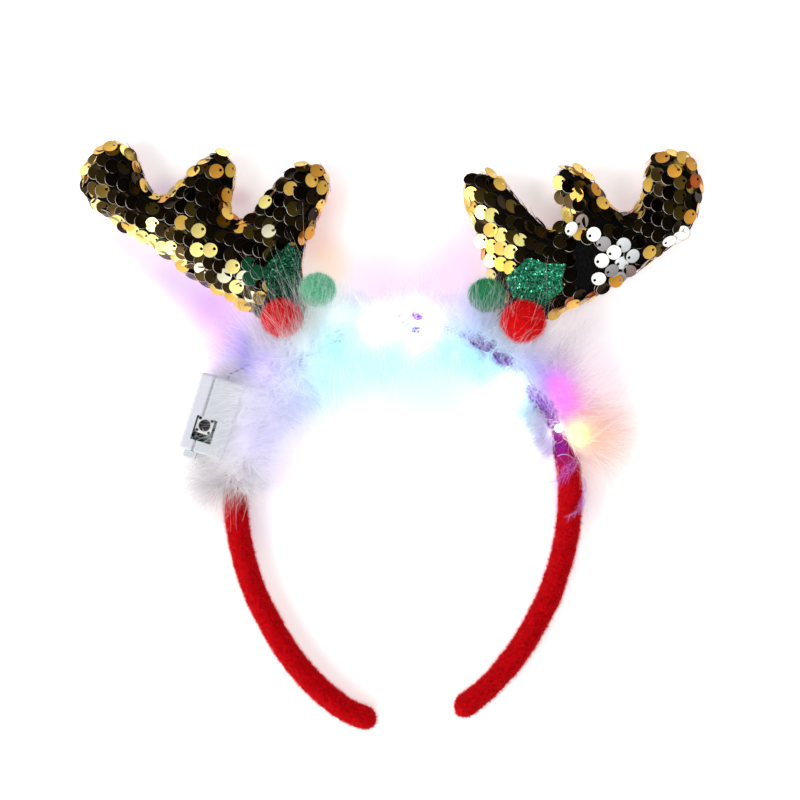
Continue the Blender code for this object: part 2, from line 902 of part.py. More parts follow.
def main():
    clear_scene()
    parts = make_collection("reindeer_antler_headband")
    cutters = make_collection("cutters")
    root = bpy.data.objects.new("assembly", None)
    bpy.context.scene.collection.objects.link(root)

    velour = make_material("red_velour", (0.52, 0.004, 0.008), 0.9)
    marabou = make_material("white_marabou", (0.85, 0.85, 0.86), 0.95)
    sequins = make_material("gold_sequins", (0.42, 0.31, 0.06), 0.3, 0.8)
    light_green = make_material("green_glitter", (0.02, 0.42, 0.08), 0.45)
    dark_green = make_material("dark_green_glitter", (0.01, 0.12, 0.03), 0.5)
    red_wool = make_material("red_pompom", (0.75, 0.01, 0.01), 0.95)
    green_wool = make_material("green_pompom", (0.05, 0.45, 0.16), 0.95)
    white_plastic = make_material("white_plastic", (0.82, 0.82, 0.82), 0.4)
    board_green = make_material("board_green", (0.03, 0.3, 0.12), 0.5)
    steel = make_material("switch_steel", (0.7, 0.7, 0.68), 0.3, 0.9)
    black_plastic = make_material("black_plastic", (0.02, 0.02, 0.02), 0.4)
    lit = make_material("lit_bead", (1.0, 0.95, 0.9), 0.2, 0.0, 4.0)
    wire = make_material("wire_white", (0.8, 0.8, 0.82), 0.5)

    band = make_headband(parts, root, velour)
    fur = make_fur(parts, root, marabou)

    left = (-1, LEFT_ANTLER, LEFT_ANTLER_SPAN, LEFT_ANTLER_RISE)
    right = (1, RIGHT_ANTLER, RIGHT_ANTLER_SPAN, RIGHT_ANTLER_RISE)
    left_leaf = (LEFT_LEAF, LEFT_LEAF_LENGTH, LEFT_LEAF_WIDTH, dark_green)
    right_leaf = (RIGHT_LEAF, RIGHT_LEAF_LENGTH, RIGHT_LEAF_WIDTH, light_green)
    spaces = []
    for name, form, leaf_form, red_diameter in (
        ("left", left, left_leaf, RED_LEFT_DIAMETER),
        ("right", right, right_leaf, RED_RIGHT_DIAMETER),
    ):
        side, _, span, rise = form
        outline, foot = antler_outline(*form)
        antler = make_pillow("antler_" + name, outline, foot, parts, root, sequins)
        antler_space = make_pillow(
            "antler_space_" + name, outline, foot, cutters, root, grow=1.5 * CLEARANCE
        )

        def spot(places):
            across, up = places[name]
            return foot + Vector((side * across * span, up * rise))

        table, length, width, leaf_green = leaf_form
        leaf_name = "holly_leaf_" + name
        leaf, leaf_space = make_leaf(
            leaf_name, table, length, width, spot(LEAF_PLACES), antler, parts, cutters, root, leaf_green
        )
        carriers = [band, antler, leaf]
        red, red_space = make_berry(
            "berry_red_" + name, spot(RED_PLACES), red_diameter, carriers, parts, cutters, root, red_wool
        )
        carriers.append(red)
        _, green_space = make_berry(
            "berry_green_" + name, spot(GREEN_PLACES), GREEN_DIAMETER, carriers, parts, cutters, root,
            green_wool
        )
        spaces += [as_cutter(antler_space), leaf_space, red_space, green_space]

    spaces += make_leds(parts, cutters, root, lit)
    seat = make_case_seat(root)
    spaces.append(
        make_battery_case(parts, cutters, seat, white_plastic, board_green, steel, black_plastic)
    )
    spaces.append(make_lead(parts, cutters, root, seat, wire))
    for space in spaces:
        cut(fur, space)
    set_on_floor(root, parts)


main()
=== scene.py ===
"""Looks of the reindeer antler headband: velour, marabou, sequins, glitter, pompoms and lights.

Everything is in metres in the frame's axes: X across the head, Y up through the
antlers and Z toward the camera, with the headband lying on the floor at Z = 0.
"""

import math

import bmesh
import bpy
import numpy as np
from mathutils import Matrix, Vector
from mathutils.bvhtree import BVHTree


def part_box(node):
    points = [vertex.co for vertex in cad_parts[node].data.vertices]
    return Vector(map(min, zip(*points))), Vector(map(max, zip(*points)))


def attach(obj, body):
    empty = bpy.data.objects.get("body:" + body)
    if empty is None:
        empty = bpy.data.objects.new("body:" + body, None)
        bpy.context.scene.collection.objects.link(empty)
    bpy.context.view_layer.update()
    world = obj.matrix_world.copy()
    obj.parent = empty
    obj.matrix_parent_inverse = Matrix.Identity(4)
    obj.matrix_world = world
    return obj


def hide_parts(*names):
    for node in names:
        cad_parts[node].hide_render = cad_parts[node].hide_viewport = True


# The photograph's frame, and how its pixels lie over the object
PHOTO_SCALE = 0.00036
PHOTO_MIDDLE = (400.0, 400.0)
OBJECT_MIDDLE = (392.0, 435.5)
FRAME_WIDTH = 0.288
CAMERA_HEIGHT = 1.2
FOCUS_HEIGHT = 0.012
SENSOR_WIDTH = 36.0

# Sizes that the headband's forms follow
CASE_TURN = math.radians(162.7)
BAND_THICKNESS = 0.009
BAND_HEIGHT = 0.012
FLUFF_OUTWARD = 0.0135
FLUFF_INWARD = 0.0135
FLUFF_TOP = 0.01
FUR_LEFT_ANGLE = math.radians(-89)
FUR_RIGHT_ANGLE = math.radians(75)

# Sequins: a disc with its thread hole near one edge, in rows across each antler
SEQUIN_RADIUS = 0.00275
SEQUIN_ROW_PITCH = 0.00504
SEQUIN_PITCH = 0.00378
SEQUIN_ROW_SLOPE = math.radians(-21)
SEQUIN_AXIS = math.radians(22)
SEQUIN_SIDES = 16
HOLE_OFFSET = 0.56
HOLE_RADIUS = 0.21
RIM_THICKNESS = 0.05
SEQUIN_ROOM = 0.0003

# Rows lie where the surface faces up more than this; below it discs are tried one by one
ROW_LIMIT = 0.55
SLOPE_TRIES = 9000
SLOPE_SPACING = 0.0034

# Fur: plumes and their barbs in each of its three pieces, short down under them, and how far
# the plumes at both ends lean along the band
PLUME_COUNT = 450
BARBS_A_PLUME = 60
DOWN_COUNT = 7600
DOWN_LENGTH = 0.0036
BARB_WIDTH = 0.00008
BROAD_BARB_WIDTH = 0.00028
BROAD_SHARE = 0.09
DOWN_WIDTH = 0.00018
WISP_WIDTH = 0.00007
END_LEAN = 0.7
PLUME_TONES = (0.7, 1.0)

# Cloth filling of the padded pieces: its settings, and for the band and an antler the grid of
# the cloth and the most that the filling moves a point
CLOTH_PRESSURE = 4.0
CLOTH_SLACK = 0.04
CLOTH_FRAMES = 20
BAND_GRID = 0.0022
BAND_PUFF = 0.0004
ANTLER_GRID = 0.0028
ANTLER_PUFF = 0.0007
FLOOR_ROOM = 0.0002

# Hairs of the velour on the band, of the plush on an antler's back and of a pompom, and flakes
# of glitter on a leaf
PILE_COUNT = 72000
PILE_LENGTH = 0.0014
PLUSH_COUNT = 30000
PLUSH_LENGTH = 0.0012
PLUSH_RED = (0.55, 0.01, 0.015)
NAP_WIDTH = 0.00014
FUZZ_COUNT = 9000
FUZZ_WIDTH = 0.0001
FUZZ_SHARE = 0.22
FLAKE_COUNT = 2600
FLAKE_SIZES = (0.00022, 0.00042)

# Lights: what the paper and a bead give off, the power of a bead's lamp, the bloom round what
# is very bright, and the room's levels from its dark side to its bright one
PAPER_LIGHT = 0.42
BEAD_LIGHT = 12.0
LAMP_POWER = 0.001
BLOOM = {"Threshold": 2.5, "Strength": 0.4, "Size": 0.35}
BRIGHT_SIDE = (-0.74, -0.52, 0.42)
ROOM_LEVELS = ((0.0, 0.16), (0.3, 0.05), (0.52, 0.03), (0.72, 0.9), (1.0, 1.6))
SOFTBOXES = (
    # name, place, size, power, whether it shows in reflections
    ("softbox_left", (-0.75, -0.15, 0.75), 0.55, 5.0, True),
    ("softbox_right", (0.75, 0.35, 0.8), 0.5, 3.8, False),
    ("softbox_below", (-0.1, -0.9, 0.6), 0.5, 2.5, True),
    ("softbox_top", (0.1, 0.9, 0.8), 0.5, 2.8, False),
)

SEED = 11

# Share of its own colour that the fur gives off, for the light that passes through it
FUR_FILL = 0.1

# Fluff along the arc: place from 0 at the left end, and shares of the three lengths
FUR_FORM = (
    # along, outward, inward, top
    (0.0, 1.1, 0.45, 0.6),
    (0.04, 1.5, 0.5, 0.8),
    (0.1, 1.3, 0.6, 0.95),
    (0.19, 1.2, 0.85, 1.0),
    (0.27, 1.4, 1.0, 1.0),
    (0.36, 0.72, 1.3, 1.0),
    (0.5, 0.6, 1.2, 1.05),
    (0.62, 0.7, 0.95, 1.0),
    (0.74, 0.9, 0.6, 0.95),
    (0.84, 1.25, 0.45, 0.9),
    (0.92, 1.65, 0.34, 0.8),
    (0.97, 1.75, 0.32, 0.7),
    (1.0, 1.3, 0.3, 0.4),
)

# Light beads, in the order of their nodes: colour, how strongly each shines, and its reach in metres
LED_COLOURS = (
    # red, green, blue, power, reach
    (0.62, 0.4, 1.0, 0.25, 0.005),
    (1.0, 0.85, 0.75, 0.2, 0.005),
    (1.0, 1.0, 1.0, 1.1, 0.0058),
    (1.0, 0.8, 0.98, 0.8, 0.003),
    (0.95, 1.0, 1.0, 1.1, 0.004),
    (0.85, 1.0, 1.0, 0.6, 0.0045),
    (0.95, 1.0, 1.0, 1.2, 0.006),
    (1.0, 0.25, 0.95, 0.42, 0.0042),
    (0.9, 0.97, 1.0, 0.35, 0.0021),
    (1.0, 0.74, 0.1, 0.55, 0.0036),
)

# How the light string and the fur's shadow colour the paper: place in the photograph,
# reach in pixels, tint
PAPER_GLOWS = (
    # x, y, reach, red, green, blue
    (400, 370, 130, 0.68, 1.0, 1.0),
    (465, 410, 125, 0.78, 1.0, 1.0),
    (300, 440, 70, 0.88, 0.84, 1.0),
    (275, 470, 40, 0.9, 0.84, 1.0),
    (244, 345, 50, 0.6, 0.5, 1.0),
    (225, 330, 85, 0.93, 0.66, 0.98),
    (215, 305, 45, 0.78, 0.7, 1.0),
    (180, 280, 40, 0.84, 0.8, 1.0),
    (328, 200, 35, 1.0, 0.9, 0.88),
    (318, 240, 32, 1.0, 0.84, 0.78),
    (335, 272, 45, 1.0, 0.94, 0.82),
    (238, 195, 18, 0.84, 0.72, 0.77),
    (160, 190, 24, 0.9, 0.86, 0.98),
    (625, 460, 70, 0.93, 0.91, 0.91),
    (185, 290, 60, 0.84, 0.74, 1.0),
    (150, 262, 45, 0.8, 0.72, 1.0),
    (120, 238, 35, 0.82, 0.76, 0.98),
    (395, 280, 80, 1.0, 0.7, 0.98),
    (450, 270, 60, 1.0, 0.78, 0.98),
    (325, 262, 42, 1.0, 0.87, 0.8),
    (340, 215, 60, 1.0, 0.9, 0.88),
    (462, 240, 60, 1.0, 0.86, 0.92),
    (605, 400, 75, 0.93, 0.85, 0.88),
    (600, 345, 75, 0.9, 0.88, 0.9),
    (612, 440, 60, 1.0, 0.86, 0.82),
    (590, 500, 55, 0.88, 0.86, 0.88),
    (545, 490, 70, 0.9, 0.86, 1.0),
    (548, 560, 60, 0.95, 0.93, 1.0),
    (205, 495, 75, 0.84, 0.83, 0.85),
    (262, 520, 70, 0.88, 0.86, 0.92),
)

# How the lights colour the fur, in the same way
FUR_TINTS = (
    # x, y, reach, red, green, blue
    (400, 365, 85, 0.84, 1.0, 1.0),
    (500, 395, 40, 0.8, 1.0, 1.0),
    (405, 295, 55, 1.0, 0.86, 0.99),
    (310, 405, 45, 0.88, 0.86, 1.0),
    (262, 440, 30, 0.92, 0.9, 1.0),
    (255, 355, 30, 0.88, 0.85, 1.0),
    (245, 340, 6, 0.62, 0.64, 0.98),
    (245, 352, 6, 0.62, 0.64, 0.98),
    (245, 365, 6, 0.62, 0.64, 0.98),
    (208, 490, 45, 0.9, 0.88, 0.89),
    (470, 318, 36, 0.87, 0.86, 1.0),
    (530, 372, 30, 0.82, 0.78, 1.0),
    (555, 382, 15, 1.0, 0.58, 0.98),
    (566, 402, 17, 1.0, 0.5, 0.97),
    (600, 432, 34, 1.0, 0.86, 0.82),
    (545, 440, 24, 0.86, 0.8, 1.0),
    (615, 390, 45, 0.96, 0.92, 0.93),
    (610, 470, 45, 0.96, 0.92, 0.92),
    (580, 345, 35, 0.96, 0.93, 0.95),
    (400, 294, 40, 1.0, 0.94, 1.0),
)

# Light that the fur is awash with, in the same way, added to its own
FUR_WASH = (
    # x, y, reach, red, green, blue
    (385, 355, 60, 0.1, 0.36, 0.36),
    (345, 380, 35, 0.1, 0.34, 0.34),
    (455, 372, 45, 0.1, 0.3, 0.34),
    (505, 396, 20, 0.06, 0.25, 0.27),
    (285, 385, 45, 0.2, 0.19, 0.22),
    (250, 450, 35, 0.16, 0.15, 0.18),
    (400, 290, 34, 0.34, 0.22, 0.3),
    (452, 300, 30, 0.26, 0.18, 0.28),
    (536, 345, 28, 0.14, 0.12, 0.13),
    (608, 392, 40, 0.14, 0.12, 0.13),
    (596, 470, 32, 0.12, 0.1, 0.1),
    (553, 378, 10, 0.26, 0.08, 0.27),
    (567, 406, 11, 0.32, 0.08, 0.29),
    (600, 440, 20, 0.26, 0.1, 0.02),
    (554, 434, 7, 0.7, 0.78, 0.8),
    (578, 436, 9, 1.1, 0.9, 0.14),
)

# Velour under the fur, lit through it: place, reach, colour of the pile there
BAND_TINTS = (
    # x, y, reach, red, green, blue
    (248, 448, 20, 0.8, 0.77, 0.86),
    (262, 405, 30, 0.72, 0.68, 0.84),
    (290, 368, 30, 0.72, 0.7, 0.86),
    (330, 342, 25, 0.6, 0.75, 0.86),
    (420, 322, 65, 0.36, 0.05, 0.66),
    (500, 350, 50, 0.46, 0.17, 0.7),
    (545, 400, 38, 0.44, 0.14, 0.8),
    (560, 446, 14, 0.5, 0.02, 0.45),
)

# Colour of the pile elsewhere, and the share of the beads' light that the velour takes
RED_PILE = (0.74, 0.001, 0.006)
BAND_GLOW = 0.12

# Places where the fur is so thin that the lit band shows: x, y, reach in pixels
THIN_SPOTS = (
    (417.7, 315, 5.5),
    (416, 330, 4.5),
    (462, 335, 3),
    (474, 340, 5),
    (481, 343, 7.5),
    (487, 347, 5),
    (496, 356, 4),
    (502, 359, 6.5),
    (508, 362, 4),
    (531, 389, 4.5),
    (535, 395, 6),
    (541, 400, 5),
    (547, 406, 6.5),
    (550, 414, 5),
    (553, 422, 6.5),
    (557, 434, 5),
    (560, 446, 8),
    (564, 458, 11),
)
THIN_SHARE = 0.94

# Strands that lie over other parts: root and tip in the photograph, heights in metres,
# spread of the roots in pixels, how far the strands fan out, and how many
WISPS = (
    # root x, root y, tip x, tip y, root z, tip z, spread, fan, count
    (305, 328, 291, 262, 0.02, 0.031, 9, 0.25, 45),
    (310, 322, 306, 262, 0.02, 0.03, 8, 0.25, 40),
    (282, 352, 266, 314, 0.02, 0.0325, 8, 0.32, 80),
    (290, 352, 284, 316, 0.021, 0.033, 8, 0.34, 150),
    (304, 350, 300, 318, 0.021, 0.033, 6, 0.34, 260),
    (318, 336, 322, 298, 0.019, 0.03, 11, 0.36, 400),
    (332, 322, 346, 288, 0.018, 0.023, 12, 0.4, 380),
    (268, 350, 246, 318, 0.018, 0.025, 9, 0.35, 240),
    (264, 384, 234, 390, 0.022, 0.027, 12, 0.25, 260),
    (262, 402, 230, 410, 0.022, 0.027, 12, 0.25, 300),
    (256, 425, 227, 434, 0.022, 0.027, 12, 0.25, 300),
    (250, 440, 216, 462, 0.02, 0.027, 12, 0.35, 300),
    (253, 396, 239, 400, 0.024, 0.0275, 5, 0.4, 320),
    (250, 418, 235, 424, 0.024, 0.0275, 5, 0.4, 320),
    (246, 438, 230, 448, 0.024, 0.027, 5, 0.4, 320),
    (236, 462, 212, 470, 0.022, 0.0262, 7, 0.45, 320),
    (236, 474, 200, 514, 0.01, 0.004, 14, 0.45, 550),
    (228, 486, 222, 530, 0.008, 0.003, 9, 0.4, 260),
    (588, 452, 602, 500, 0.01, 0.004, 14, 0.4, 550),
    (330, 316, 322, 292, 0.019, 0.028, 9, 0.4, 220),
    (238, 476, 234, 506, 0.016, 0.013, 8, 0.4, 110),
    (250, 470, 262, 498, 0.014, 0.008, 10, 0.4, 160),
    (262, 432, 305, 415, 0.02, 0.02, 12, 0.25, 200),
    (258, 450, 300, 440, 0.019, 0.017, 12, 0.3, 200),
    (466, 330, 456, 298, 0.018, 0.028, 12, 0.4, 420),
    (474, 336, 470, 304, 0.019, 0.031, 9, 0.35, 260),
    (490, 340, 492, 312, 0.02, 0.03, 8, 0.4, 70),
    (500, 350, 503, 318, 0.021, 0.0345, 9, 0.4, 130),
    (520, 354, 538, 318, 0.022, 0.0355, 12, 0.5, 60),
    (548, 392, 520, 350, 0.018, 0.024, 10, 0.3, 300),
    (560, 420, 560, 380, 0.016, 0.02, 8, 0.35, 120),
)

# Small feathers that lie on the band or on the fur: ends of the quill in the photograph,
# its height and thickness in metres, its barbs, and the painted light of the beads that colours them
FEATHERS = (
    # start x, start y, end x, end y, height, thickness, barb length in pixels, barbs, red, green, blue
    (580, 456, 555, 481, 0.0156, 0.00016, 9, 110, 0.64, 0.22, 0.92),
    (576, 452, 560, 470, 0.0156, 0.00012, 7, 60, 0.7, 0.26, 0.94),
    (583, 476, 579, 505, 0.0156, 0.00014, 6, 80, 0.55, 0.26, 0.82),
    (586, 497, 568, 516, 0.0156, 0.00014, 6, 80, 0.66, 0.38, 0.88),
    (553, 436, 545, 452, 0.015, 0.00014, 7, 60, 0.8, 0.72, 1.0),
    (557, 456, 573, 459, 0.0158, 0.0003, 1, 4, 0.85, 0.75, 0.9),
    (240, 421, 253, 403, 0.024, 0.00075, 5, 30, 1.0, 0.99, 1.0),
)

# Looks of the sequins, in painted reflection and shade: lit and shaded copies of their films,
# near black where a disc mirrors the dark room overhead, gold to pale where it mirrors a lamp
SEQUIN_SHADES = {
    # shade: red, green, blue, and which of the sequin materials it takes
    "black": (0.03, 0.019, 0.008, 0),
    "brown": (0.09, 0.055, 0.016, 0),
    "olive": (0.26, 0.18, 0.035, 0),
    "bronze": (0.62, 0.41, 0.09, 0),
    # red-orange: painted glint on the discs' edges
    "amber": (0.7, 0.33, 0.04, 1),
    "rust": (0.5, 0.1, 0.008, 1),
    "gold": (0.72, 0.45, 0.08, 1),
    "bright": (1.0, 0.84, 0.28, 1),
    "pale": (1.0, 0.97, 0.7, 1),
    # dark green: painted reflection of the green leaf beside these discs
    "leaf": (0.004, 0.06, 0.026, 1),
    "dusk": (0.24, 0.18, 0.17, 2),
    "grey": (0.3, 0.29, 0.31, 2),
    "silver": (0.7, 0.73, 0.77, 2),
    "white": (0.95, 0.95, 0.95, 2),
}
RIM_MATERIAL = 3

# Discs that lie with their back up and their thread hole at the other side
TURNED_OVER = ("white", "silver", "grey", "dusk")

# Where the sequins catch the light: place in the photograph, reach in pixels, and share of
# bright discs there
BRIGHT_ZONES = (
    # x, y, reach, share
    (92, 195, 12, 0.45),
    (118, 148, 12, 0.35),
    (88, 172, 8, 0.45),
    (150, 232, 14, 0.35),
    (180, 254, 14, 0.35),
    (205, 290, 14, 0.45),
    (232, 305, 14, 0.45),
    (180, 195, 10, 0.35),
    (233, 165, 7, 0.5),
    (470, 190, 13, 0.7),
    (478, 210, 15, 0.9),
    (488, 228, 18, 0.95),
    (500, 243, 16, 0.95),
    (490, 262, 14, 0.8),
    (525, 240, 10, 0.45),
    (560, 180, 8, 0.7),
    (566, 205, 9, 0.7),
    (645, 180, 7, 0.8),
    (642, 202, 7, 0.8),
)

# Discs that stand out one by one, drawn over the rows, each in one of the sequins'
# painted reflection and shade looks
FEATURED = {
    # shade: x, y of each disc
    "bright": ((99, 204), (120, 220), (141, 238), (164, 247), (183, 259), (200, 232), (199, 250),
        (212, 251), (234, 267), (238, 286), (568, 212), (643, 197), (222, 158), (267, 203)),
    "gold": ((130, 224), (217, 285), (213, 296), (228, 303), (242, 311), (96, 191), (648, 251),
        (684, 155), (644, 184), (577, 173), (586, 180), (601, 206), (498, 187), (553, 312), (561, 308),
        (572, 302), (591, 295), (93, 161), (112, 149), (228, 170), (182, 186), (226, 217), (302, 168),
        (320, 187)),
    "pale": ((203, 268), (226, 276), (245, 278), (253, 297), (270, 233)),
    # dark green: painted reflection of the green leaf beside these discs
    "leaf": ((250, 265), (259, 273), (251, 279)),
    "grey": ((602, 245), (610, 270), (618, 277)),
    "silver": ((622, 246), (631, 256), (620, 262)),
    "dusk": ((628, 270), (583, 223), (583, 164)),
    "black": ((602, 287),),
    "white": ((573, 231), (593, 236), (612, 253), (600, 261), (597, 277), (667, 239), (677, 236),
        (685, 236)),
    "amber": ((688, 167), (662, 160), (673, 173), (687, 216), (592, 192), (577, 195), (618, 284),
        (217, 173), (224, 195), (317, 173), (307, 231)),
    # red-orange: painted glint on a disc's edge
    "rust": ((691, 182),),
    "bronze": ((489, 178), (582, 299), (102, 152), (129, 157), (86, 175), (174, 191), (195, 173),
        (273, 192)),
    "olive": ((294, 210),),
}

# Where the knit shows between the discs, in pixels
BARE_PATCH = (
    # x, y, reach
    (588, 250, 13),
    (590, 272, 12),
    (583, 262, 9),
    (602, 230, 9),
    (608, 262, 14),
    (652, 238, 8),
)

# Moulded pieces that keep their CAD form
MOULDED = (
    # node, material, colour, roughness, cloudiness, gloss
    ("battery_lid", "lid_moulded", (0.7, 0.71, 0.79), 0.5, 0.06, 0.5),
    ("battery_case", "case_moulded", (0.62, 0.64, 0.69), 0.5, 0.06, 0.5),
    ("circuit_board", "board_lacquer", (0.012, 0.2, 0.11), 0.35, 0.06, 0.5),
    ("switch_housing", "switch_black", (0.01, 0.01, 0.011), 0.45, 0.06, 0.5),
    ("switch_button", "button_black", (0.008, 0.008, 0.009), 0.5, 0.06, 0.2),
    ("led_lead", "lead_sleeve", (0.22, 0.1, 0.38), 0.4, 0.06, 0.5),
)


def at_photo(px, py, z=0.0):
    """World place of a pixel of the photograph at a height."""
    x = (px - OBJECT_MIDDLE[0]) * PHOTO_SCALE
    y = (OBJECT_MIDDLE[1] - py) * PHOTO_SCALE
    return Vector((x, y, z))


def eased(value, rows, column):
    for low, high in zip(rows, rows[1:]):
        if value <= high[0]:
            share = (value - low[0]) / (high[0] - low[0])
            share = share * share * (3 - 2 * share)
            return low[column] + (high[column] - low[column]) * share
    return rows[-1][column]


# Node materials

class Nodes:
    """Small helper that adds and links the nodes of one material or world."""

    def __init__(self, name, owners="materials", output="OutputMaterial"):
        self.owner = getattr(bpy.data, owners).new(name)
        self.owner.use_nodes = True
        self.tree = self.owner.node_tree
        self.tree.nodes.clear()
        self.output = self.add(output)

    def add(self, kind, values=(), **inputs):
        """Add a node; inputs are named with underscores for spaces, or i and their number."""
        node = self.tree.nodes.new("ShaderNode" + kind)
        for key, value in dict(values).items():
            setattr(node, key, value)
        for key, value in inputs.items():
            by_number = key[0] == "i" and key[1:].isdigit()
            socket = node.inputs[int(key[1:]) if by_number else key.replace("_", " ")]
            if isinstance(value, bpy.types.NodeSocket):
                self.tree.links.new(value, socket)
            else:
                socket.default_value = value
        return node

    def surface(self, socket):
        self.tree.links.new(socket, self.output.inputs["Surface"])
        return self.owner

    def principled(self, **inputs):
        """The material, with one shader that has these inputs."""
        return self.surface(self.add("BsdfPrincipled", **inputs).outputs["BSDF"])

    def position(self):
        return self.add("TexCoord").outputs["Object"]

    def noise(self, scale, detail=3.0):
        node = self.add("TexNoise", Scale=scale, Detail=detail, Roughness=0.6, Vector=self.position())
        return node.outputs["Fac"]

    def cells(self, scale):
        return self.add("TexVoronoi", Scale=scale, Vector=self.position()).outputs

    def ramp(self, factor, stops):
        node = self.add("ValToRGB", Fac=factor)
        elements = node.color_ramp.elements
        while len(elements) < len(stops):
            elements.new(0.5)
        for element, (place, colour) in zip(elements, stops):
            element.position = place
            element.color = (*colour, 1.0)
        return node.outputs["Color"]

    def bump(self, height, strength, distance):
        return self.add("Bump", Height=height, Strength=strength, Distance=distance).outputs["Normal"]

    def mix_colour(self, factor, first, second, blend="MIX"):
        first, second = (c if isinstance(c, bpy.types.NodeSocket) else (*c, 1.0) for c in (first, second))
        node = self.add("Mix", {"data_type": "RGBA", "blend_type": blend}, i0=factor, i6=first, i7=second)
        return node.outputs[2]

    def attribute(self, name):
        return self.add("Attribute", {"attribute_name": name}).outputs["Color"]


def velour_material():
    nodes = Nodes("red_velour_pile")
    pile = nodes.noise(900.0, 4.0)
    tone = nodes.ramp(pile, ((0.25, (0.35, 0.35, 0.35)), (0.7, (1.0, 1.0, 1.0))))
    tone = nodes.mix_colour(nodes.noise(140.0), tone, (0.72, 0.72, 0.72), "MULTIPLY")
    return nodes.principled(
        Base_Color=nodes.mix_colour(1.0, nodes.attribute("shade"), tone, "MULTIPLY"),
        Roughness=0.95,
        Specular_IOR_Level=0.08,
        Emission_Color=nodes.attribute("glow"),
        Emission_Strength=1.0,
        Normal=nodes.bump(pile, 0.6, 0.0004),
    )


def strand_material(name, roughness, see_through):
    """Fine strands, coloured by their own attributes, that let some light through."""
    nodes = Nodes(name)
    colour = nodes.attribute("shade")
    shader = nodes.add(
        "BsdfPrincipled",
        Base_Color=colour,
        Roughness=roughness,
        Specular_IOR_Level=0.1,
        Emission_Color=nodes.attribute("glow"),
        Emission_Strength=1.0,
    )
    through = nodes.add("BsdfTranslucent", Color=colour)
    both = nodes.add("MixShader", Fac=see_through, i1=shader.outputs["BSDF"], i2=through.outputs["BSDF"])
    return nodes.surface(both.outputs["Shader"])


def sequin_material(name, metallic, roughness, painted_glow=0.0):
    nodes = Nodes(name)
    smear = nodes.noise(700.0, 2.0)
    colour = nodes.mix_colour(smear, nodes.attribute("shade"), (0.9, 0.88, 0.8), "MULTIPLY")
    return nodes.principled(
        Base_Color=colour,
        Metallic=metallic,
        Roughness=roughness,
        # Painted glow: the film gives off its own colour, which makes it brighter than its lighting
        Emission_Color=colour,
        Emission_Strength=painted_glow,
        Normal=nodes.bump(nodes.noise(420.0, 1.0), 0.08, 0.0003),
    )


def antler_cloth_material():
    """Black knit on the front, red plush on the back."""
    nodes = Nodes("antler_cloth")
    weave = nodes.cells(1400.0)["Distance"]
    black = nodes.ramp(weave, ((0.0, (0.006, 0.006, 0.007)), (0.6, (0.001, 0.001, 0.001))))
    red = nodes.ramp(nodes.noise(800.0, 4.0), ((0.3, (0.2, 0.0, 0.002)), (0.7, PLUSH_RED)))
    facing = nodes.add("SeparateXYZ", Vector=nodes.add("NewGeometry").outputs["Normal"]).outputs["Z"]
    front = nodes.add("MapRange", Value=facing, From_Min=-0.25, From_Max=-0.15)
    return nodes.principled(
        Base_Color=nodes.mix_colour(front.outputs["Result"], red, black),
        Roughness=0.9,
        Specular_IOR_Level=0.12,
        Normal=nodes.bump(weave, 0.4, 0.0003),
    )


def glitter_material(name, dark, bright):
    nodes = Nodes(name)
    cells = nodes.cells(1500.0)
    tone = nodes.add("SeparateColor", Color=cells["Color"]).outputs[0]
    middle = tuple(0.5 * (a + b) for a, b in zip(dark, bright))
    return nodes.principled(
        Base_Color=nodes.ramp(tone, ((0.0, dark), (0.55, middle), (1.0, bright))),
        Metallic=0.5,
        Roughness=0.3,
        Normal=nodes.bump(cells["Distance"], 0.8, 0.0003),
    )


def plastic_material(name, colour, roughness, cloudy=0.06, gloss=0.5):
    nodes = Nodes(name)
    darker = tuple(channel * (1 - 2 * cloudy) for channel in colour)
    return nodes.principled(
        Base_Color=nodes.mix_colour(nodes.noise(120.0), colour, darker),
        Roughness=roughness,
        Specular_IOR_Level=gloss,
        Subsurface_Weight=0.15,
        Subsurface_Radius=(0.002, 0.002, 0.002),
        Normal=nodes.bump(nodes.noise(900.0, 2.0), 0.08, 0.0001),
    )


def metal_material(name, colour, roughness):
    nodes = Nodes(name)
    bump = nodes.bump(nodes.noise(2500.0, 2.0), 0.15, 0.0001)
    return nodes.principled(Base_Color=(*colour, 1.0), Metallic=1.0, Roughness=roughness, Normal=bump)


def lit_material(name, colour, strength):
    """Clear bulb: cloudy inside and a little uneven, and lit in one colour."""
    nodes = Nodes(name)
    cloud = nodes.noise(1800.0, 2.0)
    return nodes.principled(
        Base_Color=nodes.mix_colour(cloud, colour, tuple(0.7 * channel for channel in colour)),
        Roughness=0.2,
        Emission_Color=(*colour, 1.0),
        Emission_Strength=strength,
        Normal=nodes.bump(cloud, 0.2, 0.0001),
    )


def paper_material():
    """White sheet that takes the tints of the lights near it."""
    nodes = Nodes("white_paper")
    place = nodes.position()
    tint = (1.0, 1.0, 1.0)
    for x, y, reach, *colour in PAPER_GLOWS:
        away = nodes.add("VectorMath", {"operation": "DISTANCE"}, i0=place, i1=at_photo(x, y))
        near = nodes.add("MapRange", {"interpolation_type": "SMOOTHERSTEP"}, Value=away.outputs["Value"])
        near.inputs["From Min"].default_value = reach * PHOTO_SCALE
        near.inputs["From Max"].default_value = 0.0
        tint = nodes.mix_colour(near.outputs["Result"], tint, colour, "MULTIPLY")
    own_light = {"Emission_Color": tint, "Emission_Strength": PAPER_LIGHT}
    return nodes.principled(Base_Color=tint, Roughness=0.9, **own_light)


